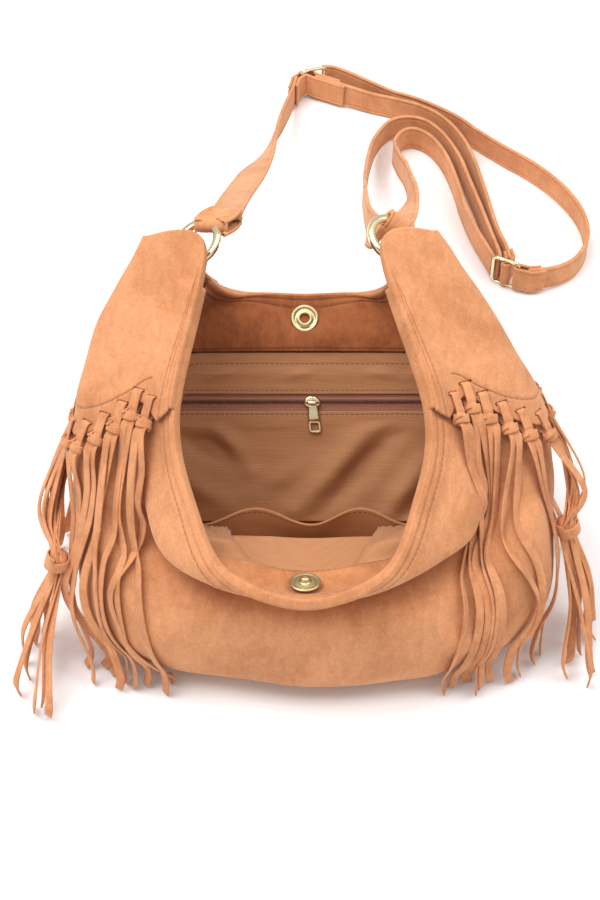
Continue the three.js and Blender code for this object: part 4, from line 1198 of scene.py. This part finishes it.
# Where the tails of the laces end, (x, y), from the mouth to the rear of each wing.
TAIL_ENDS = {
    "left": [
        (-81, -58), (-84, -66), (-96, -60), (-104, -61), (-109, -57), (-112, -63), (-117, -52), (-122, -47),
        (-128, -58), (-133, -46), (-153, -82), (-157, -74), (-162, -78), (-167, -55), (-172, -66),
        (-170, -44), (-173, -33), (-166, -30), (-168, -20), (-160, -24), (-158, 44), (-153, 56),
        (-150, 76), (-146, 86),
        (-138, 104), (-130, 112)],
    "right": [
        (84, -66), (88, -62), (98, -58), (103, -66), (106, -62), (112, -58), (124, -58), (130, -52),
        (139, -44), (144, -36), (158, -54), (161, -44), (163, -30), (168, -37), (171, -60), (174, -52),
        (178, -26), (174, -20), (178, -14), (170, -10), (168, 44), (164, 56), (160, 76), (156, 88),
        (150, 104), (142, 112)]}
GATHERED = {
    "left": (range(5, 10), (-147, -14, 66)),
    "right": (range(5, 10), (157, 6, 73))}


def lace_tail(side, k, way, at, seed):
    """A tail: from under the knot, by the gathering knot if it has one, down to its end on the table."""
    rng = np.random.default_rng(seed)
    end = np.array(TAIL_ENDS[side][2 * k + (way > 0)] + (2.6,), float)
    start = place(at, KNOT_DROP + 1.5, KNOT_OUT, way * 0.8)
    leave = place(at, KNOT_DROP + 9, KNOT_OUT + 1.8, way * 1.9)
    gathered, gather = GATHERED[side]
    outward = unit(np.array([end[0] - 4, end[1] - 30, 0.0]))
    stops = [start, leave]
    if k in gathered:
        gather = np.array(gather, float) + rng.normal(size=3) * (1.6, 1.6, 1.0)
        drop = mix(leave, gather, rng.uniform(0.4, 0.6)) + outward * rng.uniform(5, 16)
        stops += [drop, gather + (0, 0, 7), gather - (0, 0, 6)]
        middle = mix(gather, end, 0.5) + outward * 3
        stops += [middle]
    else:
        for share, bulge in ((0.3, 6.0), (0.62, 8.0)):
            sway = rng.normal(size=3) * (5.5, 4.0, 1.0)
            stops.append(mix(leave, end, share) + outward * bulge * (1 if k < 5 else 0.6) + sway)
    lead = end - outward * 2 + (0, 0, 15)
    stops += [lead + rng.normal(size=3) * (1.5, 1.5, 0), end]
    line = clear_of_body(even_path(np.array(stops), 2.6), 3.0, 4)
    run = tangents(line)
    twist = np.linspace(0, rng.uniform(-0.9, 0.9), len(line))
    level = unit(np.cross(run, outward + np.array([0, 0, 0.25])))
    sides = np.cos(twist)[:, None] * level + np.sin(twist)[:, None] * np.cross(run, level)
    blend_in = ease(np.linspace(0, len(line) / 6, len(line)))[:, None]
    sides = unit(mix(at["along"], sides * np.sign((sides[3] @ at["along"]) or 1), blend_in))
    wide = rng.uniform(5.0, 6.2) * (1 + 0.05 * np.sin(np.linspace(0, 14, len(line)) + seed))
    return ribbon(line, sides, wide, LACE_THICK)


def lace_piece(side, k):
    """One lace: its loop through the wing, its knot and its two tails."""
    at = LACE_FRAMES[side][k]
    seed = 100 * (side == "right") + 7 * k
    parts = [lace_loop(at)] + lace_knot(at, seed)
    parts += [lace_tail(side, k, way, at, seed + 3 + way) for way in (-1, 1)]
    return make_piece(f"lace_{side}_{k + 1}_suede", *merged(parts), nodes=(f"lace_{side}_{k + 1}",))


laces = {side: [lace_piece(side, k) for k in range(LACES)] for side in EDGE}


def gathering_knot(side):
    """A lace wound twice round a bundle of tails, and drawn tight."""
    middle = np.array(GATHERED[side][1], float)
    turn = np.linspace(0, 2 * math.pi * 2.2, 60)
    tilt = np.array([0.3 if side == "left" else -0.3, 0.1, 1.0])
    axis = unit(tilt)
    first = unit(np.cross(axis, (0, 1, 0)))
    second = np.cross(axis, first)
    line = middle + 6.6 * (np.cos(turn)[:, None] * first + np.sin(turn)[:, None] * second)
    line = line + (np.linspace(-3.2, 3.2, 60) + 0.8 * np.sin(turn))[:, None] * axis
    wrap = ribbon(line, axis, 5.4, LACE_THICK)
    core_line = middle + np.linspace(-7, 7, 11)[:, None] * axis
    fat = np.sqrt(np.maximum(1 - np.linspace(-0.93, 0.93, 11) ** 2, 0.1))
    core = ribbon(core_line, first, 11.5 * fat, 11.5 * fat)
    return make_piece(f"gathering_knot_{side}", *merged([wrap, core]))


knots = {side: gathering_knot(side) for side in EDGE}


# ---------------------------------------------------------------- base, pouch and plates
def base_piece():
    """The base: a stiff suede-covered board inside the foot of the skin, crowned a little."""
    u = np.linspace(0, 18, 145)[:-1]
    edge = skin(u, np.zeros(144)) - skin_frame(u, np.zeros(144))[2] * 2.9
    edge[:, 2] = 0
    shares = np.concatenate([[0.999, 1.0, 0.999], np.linspace(0.985, 0.03, 16)])
    high = np.concatenate([[0.25, 1.0, 1.75], np.full(16, 2.0)])
    rings = edge[None] * shares[:, None, None] + np.array([0, 0, 1.0]) * high[:, None, None]
    return make_piece("base_panel_suede", *swept(rings), nodes=("base_panel",))


base_piece()


def pouch_piece():
    """The zip pocket's pouch: two cloths sewn together round three sides, slack between them."""
    x, t = np.meshgrid(np.linspace(-66, 66, 90), np.linspace(0, 1, 40))
    up = mix(-48, -10, t)
    edge = np.minimum(np.minimum(66 - np.abs(x), up + 48), -10 - up)
    half = 0.15 + 0.35 * ease(edge / 6)
    slack = 0.25 * np.sin(x / 13 + up / 9)
    back = 0.95 + 3.6 * ease((-12 - up) / 12)
    outer = on_zip(x, up, half - back + slack * ease(edge / 10) * 0.3)
    inner = on_zip(x, up, -back - half)
    return sheet_piece(
        "zip_pocket_pouch_cloth", outer, inner, slot="lining_cloth", nodes=("zip_pocket_pouch",),
        uvs={"cloth": np.stack([x * MM, up * MM], -1)})


pouch = pouch_piece()


# ---------------------------------------------------------------- material helpers
def put(tree, kind, settings=None, **inputs):
    """Adds a shader node. Each input is a value or another node's output; _0 is the first input."""
    node = tree.nodes.new("ShaderNode" + kind)
    for key, value in (settings or {}).items():
        setattr(node, key, value)
    for key, value in inputs.items():
        numbered = key[0] == "_" and key[1:].isdigit()
        socket = node.inputs[int(key[1:])] if numbered else node.inputs[key.replace("_", " ")]
        if isinstance(value, bpy.types.NodeSocket):
            tree.links.new(value, socket)
        else:
            socket.default_value = value
    return node


def math_node(tree, operation, first, second=0.0, third=0.0):
    """One sum on two or three values."""
    node = put(tree, "Math", {"operation": operation}, _0=first, _1=second)
    if operation in {"MULTIPLY_ADD", "SMOOTH_MIN", "COMPARE"}:
        if isinstance(third, bpy.types.NodeSocket):
            tree.links.new(third, node.inputs[2])
        else:
            node.inputs[2].default_value = third
    return node.outputs[0]


def remap(tree, value, low, high, to_low=0.0, to_high=1.0):
    """A value's span from low to high, carried smoothly to another span."""
    node = put(tree, "MapRange", {"interpolation_type": "SMOOTHSTEP"}, Value=value)
    for key, number in zip(("From Min", "From Max", "To Min", "To Max"), (low, high, to_low, to_high)):
        node.inputs[key].default_value = number
    return node.outputs[0]


def blend_colour(tree, share, first, second, mode="MIX"):
    """Two colours mixed by a share."""
    node = put(tree, "Mix", {"data_type": "RGBA", "blend_type": mode})
    for socket, value in ((node.inputs[0], share), (node.inputs[6], first), (node.inputs[7], second)):
        if isinstance(value, bpy.types.NodeSocket):
            tree.links.new(value, socket)
        else:
            socket.default_value = value
    return node.outputs[2]


def noise(tree, place_socket, scale, detail=2.0, distortion=0.0, rough=0.5):
    """A cloudy value from 0 to 1."""
    return put(
        tree, "TexNoise", None, Vector=place_socket, Scale=scale, Detail=detail, Roughness=rough,
        Distortion=distortion).outputs[0]


def new_group(name, inputs, outputs):
    """A node group with named inputs, given as (name, start value), and named outputs."""
    group = bpy.data.node_groups.new(name, "ShaderNodeTree")
    for label, start in inputs:
        socket = group.interface.new_socket(label, in_out="INPUT", socket_type="NodeSocketFloat")
        socket.default_value = start
    for label in outputs:
        group.interface.new_socket(label, in_out="OUTPUT", socket_type="NodeSocketFloat")
    return group, group.nodes.new("NodeGroupInput"), group.nodes.new("NodeGroupOutput")


def nap_group():
    """Suede: brushed patches of nap, small scuffs and a fine grain, all from object coordinates."""
    group, given, result = new_group("suede nap", [("Patch Size", 0.04)], ("Patches", "Scuffs", "Grain"))
    where = put(group, "TexCoord").outputs["Object"]
    size = math_node(group, "DIVIDE", 1.0, given.outputs["Patch Size"])
    patches = put(group, "TexNoise", None, Vector=where, Scale=size, Detail=4.0, Roughness=0.55,
                  Distortion=0.7).outputs[0]
    stretched = put(group, "Mapping", None, Vector=where)
    stretched.inputs["Scale"].default_value = (1.0, 0.45, 0.45)
    stretched.inputs["Rotation"].default_value = (0.3, 0.5, 0.2)
    scuffs = noise(group, stretched.outputs[0], 190.0, 3.0, 0.9)
    grain = noise(group, where, 1300.0, 2.0)
    coarse = noise(group, where, 520.0, 2.0)
    both = math_node(group, "MULTIPLY_ADD", grain, 0.6, math_node(group, "MULTIPLY", coarse, 0.4))
    group.links.new(remap(group, patches, 0.34, 0.66), result.inputs["Patches"])
    group.links.new(remap(group, scuffs, 0.3, 0.7), result.inputs["Scuffs"])
    group.links.new(both, result.inputs["Grain"])
    return group


def stitch_group():
    """A row of stitches on a UV of (along, away) in metres: thread, and the dent it is drawn into."""
    group, given, result = new_group(
        "stitch row", [("Along", 0.0), ("Away", 1.0), ("Pitch", 0.0034)], ("Thread", "Dent"))
    steps = math_node(group, "DIVIDE", given.outputs["Along"], given.outputs["Pitch"])
    phase = math_node(group, "ABSOLUTE", math_node(group, "SUBTRACT", math_node(group, "FRACT", steps), 0.5))
    away = math_node(group, "ABSOLUTE", given.outputs["Away"])
    long_mask = remap(group, phase, 0.31, 0.36, 1.0, 0.0)
    thin_mask = remap(group, away, 0.00026, 0.0004, 1.0, 0.0)
    thread = math_node(group, "MULTIPLY", long_mask, thin_mask)
    dent = remap(group, away, 0.0, 0.0013, 1.0, 0.0)
    group.links.new(thread, result.inputs["Thread"])
    group.links.new(dent, result.inputs["Dent"])
    return group


def weave_group():
    """Plain cloth on a UV in metres: fine over-and-under threads, and thicker level slubs."""
    group, given, result = new_group(
        "cloth weave", [("Across", 0.0), ("Up", 0.0), ("Thread", 0.0005)], ("Weave", "Slubs"))
    waves = []
    for label in ("Across", "Up"):
        turns = math_node(group, "DIVIDE", given.outputs[label], given.outputs["Thread"])
        waves.append(math_node(group, "SINE", math_node(group, "MULTIPLY", turns, math.pi)))
    weave = math_node(group, "ABSOLUTE", math_node(group, "MULTIPLY", waves[0], waves[1]))
    spot = put(group, "CombineXYZ", None, X=math_node(group, "MULTIPLY", given.outputs["Across"], 26.0),
               Y=math_node(group, "MULTIPLY", given.outputs["Up"], 1100.0)).outputs[0]
    slubs = noise(group, spot, 1.0, 3.0, 0.2, 0.65)
    group.links.new(weave, result.inputs["Weave"])
    group.links.new(remap(group, slubs, 0.36, 0.68), result.inputs["Slubs"])
    return group


def wear_group():
    """Polished plating: light rubbing and smudges, from object coordinates."""
    group, given, result = new_group("plating wear", [("Size", 0.006)], ("Smudge", "Scratches"))
    where = put(group, "TexCoord").outputs["Object"]
    size = math_node(group, "DIVIDE", 1.0, given.outputs["Size"])
    smudge = put(group, "TexNoise", None, Vector=where, Scale=size, Detail=3.0, Roughness=0.5).outputs[0]
    long_way = put(group, "Mapping", None, Vector=where)
    long_way.inputs["Scale"].default_value = (1.0, 0.12, 0.3)
    scratches = noise(group, long_way.outputs[0], 2600.0, 2.0)
    group.links.new(remap(group, smudge, 0.35, 0.7), result.inputs["Smudge"])
    group.links.new(remap(group, scratches, 0.4, 0.75), result.inputs["Scratches"])
    return group


NAP, STITCHES, WEAVE, WEAR = nap_group(), stitch_group(), weave_group(), wear_group()


def use(tree, group, **inputs):
    node = put(tree, "Group", {"node_tree": group}, **inputs)
    return node


def new_material(name, colour, roughness, metallic=0.0):
    """A material, its tree, and its shader with the plain values set."""
    material = bpy.data.materials.new(name)
    material.use_nodes = True
    material.diffuse_color = (*colour, 1)
    shader = material.node_tree.nodes["Principled BSDF"]
    shader.inputs["Roughness"].default_value = roughness
    shader.inputs["Metallic"].default_value = metallic
    return material, material.node_tree, shader


def seam_rows(tree, names, pitch):
    """The thread and dent of every stitch row that a piece's UV maps give."""
    thread, dent = None, None
    for name in names:
        uv = put(tree, "UVMap", {"uv_map": name}).outputs[0]
        parts = put(tree, "SeparateXYZ", None, Vector=uv)
        row = use(tree, STITCHES, Along=parts.outputs[0], Away=parts.outputs[1], Pitch=pitch)
        thread = row.outputs[0] if thread is None else math_node(tree, "MAXIMUM", thread, row.outputs[0])
        dent = row.outputs[1] if dent is None else math_node(tree, "MAXIMUM", dent, row.outputs[1])
    return thread, dent


def suede_material(name, light, dark, rows=(), pitch=0.0034, patch=0.045, thread_colour=None, depth=1.0,
                   roughness=0.95):
    """Napped suede: light and dark where the nap lies each way, a fine grain, and stitch rows, with painted
    shade in the dent of each row.
    """
    material, tree, shader = new_material(name, light, roughness)
    nap = use(tree, NAP, Patch_Size=patch)
    way = math_node(tree, "MULTIPLY_ADD", nap.outputs["Scuffs"], 0.35,
                    math_node(tree, "MULTIPLY", nap.outputs["Patches"], 0.65))
    colour = blend_colour(tree, way, (*dark, 1), (*light, 1))
    speck = remap(tree, nap.outputs["Grain"], 0.35, 0.65, 0.9, 1.06)
    grey = put(tree, "CombineColor", None, Red=speck, Green=speck, Blue=speck).outputs[0]
    colour = blend_colour(tree, 1.0, colour, grey, "MULTIPLY")
    height = math_node(tree, "MULTIPLY", nap.outputs["Grain"], 0.35)
    height = math_node(tree, "MULTIPLY_ADD", nap.outputs["Scuffs"], 0.25, height)
    if rows:
        thread, dent = seam_rows(tree, rows, pitch)
        stitch = thread_colour or tuple(0.55 * c for c in dark)
        # Painted shade: the colour is darkened towards this deeper tone inside each stitch dent.
        deep = (*(0.6 * c for c in dark), 1)
        shade = blend_colour(tree, math_node(tree, "MULTIPLY", dent, 0.25), colour, deep)
        colour = blend_colour(tree, math_node(tree, "MULTIPLY", thread, 0.6), shade, (*stitch, 1))
        height = math_node(tree, "SUBTRACT", height, math_node(tree, "MULTIPLY", dent, 1.3))
        height = math_node(tree, "MULTIPLY_ADD", thread, 0.7, height)
    bump = put(tree, "Bump", None, Height=height, Strength=0.55 * depth, Distance=0.0006)
    tree.links.new(colour, shader.inputs["Base Color"])
    tree.links.new(bump.outputs[0], shader.inputs["Normal"])
    shader.inputs["Sheen Weight"].default_value = 0.35
    shader.inputs["Sheen Roughness"].default_value = 0.45
    shader.inputs["Sheen Tint"].default_value = (1.0, 0.78, 0.58, 1)
    shader.inputs["Specular IOR Level"].default_value = 0.15
    return material


def cloth_material(name, light, dark, thread=0.0005, rows=(), gloss=0.55, slub=0.4, uv_name="cloth"):
    """Woven cloth, darker between its threads, with level slubs."""
    material, tree, shader = new_material(name, light, gloss)
    if uv_name:
        uv = put(tree, "UVMap", {"uv_map": uv_name}).outputs[0]
    else:
        uv = put(tree, "TexCoord").outputs["Object"]
    parts = put(tree, "SeparateXYZ", None, Vector=uv)
    weave = use(tree, WEAVE, Across=parts.outputs[0], Up=parts.outputs[1], Thread=thread)
    share = math_node(tree, "MULTIPLY_ADD", weave.outputs["Slubs"], slub,
                      math_node(tree, "MULTIPLY", weave.outputs["Weave"], 1 - slub))
    colour = blend_colour(tree, share, (*dark, 1), (*light, 1))
    height = math_node(tree, "MULTIPLY_ADD", weave.outputs["Slubs"], 0.6, weave.outputs["Weave"])
    if rows:
        stitch, dent = seam_rows(tree, rows, 0.0032)
        colour = blend_colour(tree, math_node(tree, "MULTIPLY", stitch, 0.9), colour,
                              (*(0.4 * c for c in dark), 1))
        height = math_node(tree, "SUBTRACT", height, math_node(tree, "MULTIPLY", dent, 1.5))
    bump = put(tree, "Bump", None, Height=height, Strength=0.35, Distance=0.0003)
    tree.links.new(colour, shader.inputs["Base Color"])
    tree.links.new(bump.outputs[0], shader.inputs["Normal"])
    shader.inputs["Sheen Weight"].default_value = 0.2
    shader.inputs["Sheen Roughness"].default_value = 0.4
    shader.inputs["Specular IOR Level"].default_value = 0.35
    return material


def metal_material(name, colour, worn, roughness):
    """Polished plating, a little duller where it is rubbed."""
    material, tree, shader = new_material(name, colour, roughness, 1.0)
    wear = use(tree, WEAR, Size=0.006)
    tone = blend_colour(tree, wear.outputs["Smudge"], (*colour, 1), (*worn, 1))
    rough = math_node(tree, "MULTIPLY_ADD", wear.outputs["Smudge"], 0.12, roughness)
    bump = put(tree, "Bump", None, Height=wear.outputs["Scratches"], Strength=0.06, Distance=0.0001)
    tree.links.new(tone, shader.inputs["Base Color"])
    tree.links.new(rough, shader.inputs["Roughness"])
    tree.links.new(bump.outputs[0], shader.inputs["Normal"])
    return material


SUEDE_LIGHT, SUEDE_DARK = (0.68, 0.305, 0.145), (0.49, 0.197, 0.083)
suede_panel = suede_material("camel suede, hemmed", SUEDE_LIGHT, SUEDE_DARK, ("rim",))
suede_wing = suede_material("camel suede, wing", SUEDE_LIGHT, SUEDE_DARK, ("rim", "lacing"))
suede_plain = suede_material("camel suede, plain", SUEDE_LIGHT, SUEDE_DARK)
suede_lace = suede_material("camel suede, cut lace", (0.69, 0.31, 0.147), (0.49, 0.195, 0.083), patch=0.02)
suede_strap = suede_material("camel suede, strap", (0.70, 0.325, 0.155), (0.53, 0.222, 0.095), patch=0.03)
# The facings are the same suede as the body. The front copy is set lighter as painted light, and the rear
# copy darker and redder as painted shade, because the rear facing faces away from the light.
front_facing_suede_painted_light = suede_material(
    "suede with painted light, front facing", (0.62, 0.26, 0.11), (0.43, 0.16, 0.062), ("rim", "lacing"), patch=0.03)
rear_facing_suede_painted_shade = suede_material(
    "suede with painted shade, rear facing", (0.43, 0.145, 0.055), (0.25, 0.073, 0.026), ("rim", "lacing"), patch=0.03)
backing_suede = suede_material("russet suede backing", (0.50, 0.19, 0.075), (0.34, 0.115, 0.04))
lining_cloth = cloth_material(
    "brown lining cloth", (0.60, 0.28, 0.122), (0.44, 0.19, 0.078), rows=("rim",))
pouch_cloth = cloth_material("brown pouch cloth", (0.60, 0.28, 0.122), (0.44, 0.19, 0.078))
pocket_cloth = cloth_material(
    "brown pocket cloth", (0.60, 0.28, 0.122), (0.44, 0.19, 0.078), rows=("rim",), uv_name="rim")
tape_cloth = cloth_material("chestnut zip tape", (0.50, 0.215, 0.135), (0.28, 0.105, 0.064), 0.0009, slub=0.3)
coil_nylon = cloth_material("chestnut zip coil", (0.34, 0.13, 0.08), (0.18, 0.066, 0.04), uv_name="")
gold = metal_material("pale gold plating", (0.90, 0.80, 0.52), (0.80, 0.68, 0.40), 0.16)
brass = metal_material("brushed brass snap", (0.72, 0.60, 0.34), (0.58, 0.46, 0.24), 0.34)
steel_plate = metal_material("dull plate", (0.62, 0.56, 0.42), (0.45, 0.4, 0.3), 0.35)


def dress(piece, material):
    piece.data.materials.clear()
    piece.data.materials.append(material)


for piece in list(bpy.data.objects):
    if piece.type != "MESH":
        continue
    name = piece.name
    if name.startswith("snap_plate"):
        if piece.data.materials:
            piece.material_slots[0].material = steel_plate
    elif name.startswith("snap_"):
        dress(piece, brass)
    elif name.endswith("_metal"):
        dress(piece, gold)
    elif name.startswith("zip_pocket"):
        dress(piece, pouch_cloth)
    elif name.startswith("body_") and name.endswith("_suede"):
        dress(piece, suede_panel)
    elif name in ("wing_left_suede", "wing_right_suede"):
        dress(piece, suede_wing)
    elif name.startswith("facing_") and name.endswith("_suede"):
        # The rear facing gets the copy with painted shade, and the front facing gets the copy with painted
        # light.
        dress(piece, rear_facing_suede_painted_shade if "rear" in name else front_facing_suede_painted_light)
    elif name.startswith("wing_backing") and name.endswith("_suede"):
        dress(piece, backing_suede)
    elif name.startswith("lace_") and name.endswith("_suede") or name.startswith("gathering"):
        dress(piece, suede_lace)
    elif name.startswith("strap_") and (name.endswith("_suede") or name.endswith("fold")):
        dress(piece, suede_strap)
    elif name.startswith("slip_pocket_cloth"):
        dress(piece, pocket_cloth)
    elif name.startswith("zip_tape") and name.endswith("_cloth"):
        dress(piece, tape_cloth)
    elif name == "zip_coil":
        dress(piece, coil_nylon)
    elif name.endswith("_cloth"):
        dress(piece, lining_cloth)
    elif name.endswith("_suede") or "_roll_" in name:
        dress(piece, suede_plain)


for strap_name, last in (
        ("strap_left", "fitting"), ("strap_link", "fitting"), ("strap_loop", "fitting"),
        ("strap_outer", "object"), ("strap_inner", "object")):
    line = strap_paths[strap_name]
    carried = list(folds.get(strap_name, []))
    if strap_name == "strap_left":
        carried.append(adjusters["left"])
    if strap_name == "strap_loop":
        carried.append(adjusters["right"])


# ---------------------------------------------------------------- floor and light
floor_data = bpy.data.meshes.new("floor")
span = 6.0
floor_corners = [(-span, -span, 0), (span, -span, 0), (span, span, 0), (-span, span, 0)]
floor_data.from_pydata(floor_corners, [], [(0, 1, 2, 3)])
floor = bpy.data.objects.new("floor", floor_data)
bpy.context.collection.objects.link(floor)
floor_material, _, floor_shader = new_material("white paper", (0.9, 0.9, 0.9), 0.9)
floor_shader.inputs["Base Color"].default_value = (0.93, 0.93, 0.935, 1)
floor_shader.inputs["Specular IOR Level"].default_value = 0.1
floor_data.materials.append(floor_material)

world = bpy.data.worlds.new("studio")
bpy.context.scene.world = world
world.use_nodes = True
world.node_tree.nodes["Background"].inputs[0].default_value = (1, 1, 1, 1)
world.node_tree.nodes["Background"].inputs[1].default_value = 0.62
bpy.context.scene.view_settings.view_transform = "Standard"


def soft_light(name, place_at, aim, size, power):
    """A square soft box aimed at a point."""
    data = bpy.data.lights.new(name, "AREA")
    data.size = size
    data.energy = power
    lamp = bpy.data.objects.new(name, data)
    lamp.location = place_at
    line = np.array(aim) - np.array(place_at)
    yaw = math.atan2(line[0], -line[1])
    pitch = math.atan2(math.hypot(line[0], line[1]), -line[2])
    lamp.rotation_euler = (pitch, 0, yaw + math.pi)
    bpy.context.collection.objects.link(lamp)


soft_light("key", (-0.7, 0.1, 1.7), (0, 0.1, 0.05), 1.3, 30)
soft_light("fill", (1.0, 0.2, 1.6), (0, 0.15, 0.05), 1.5, 16)
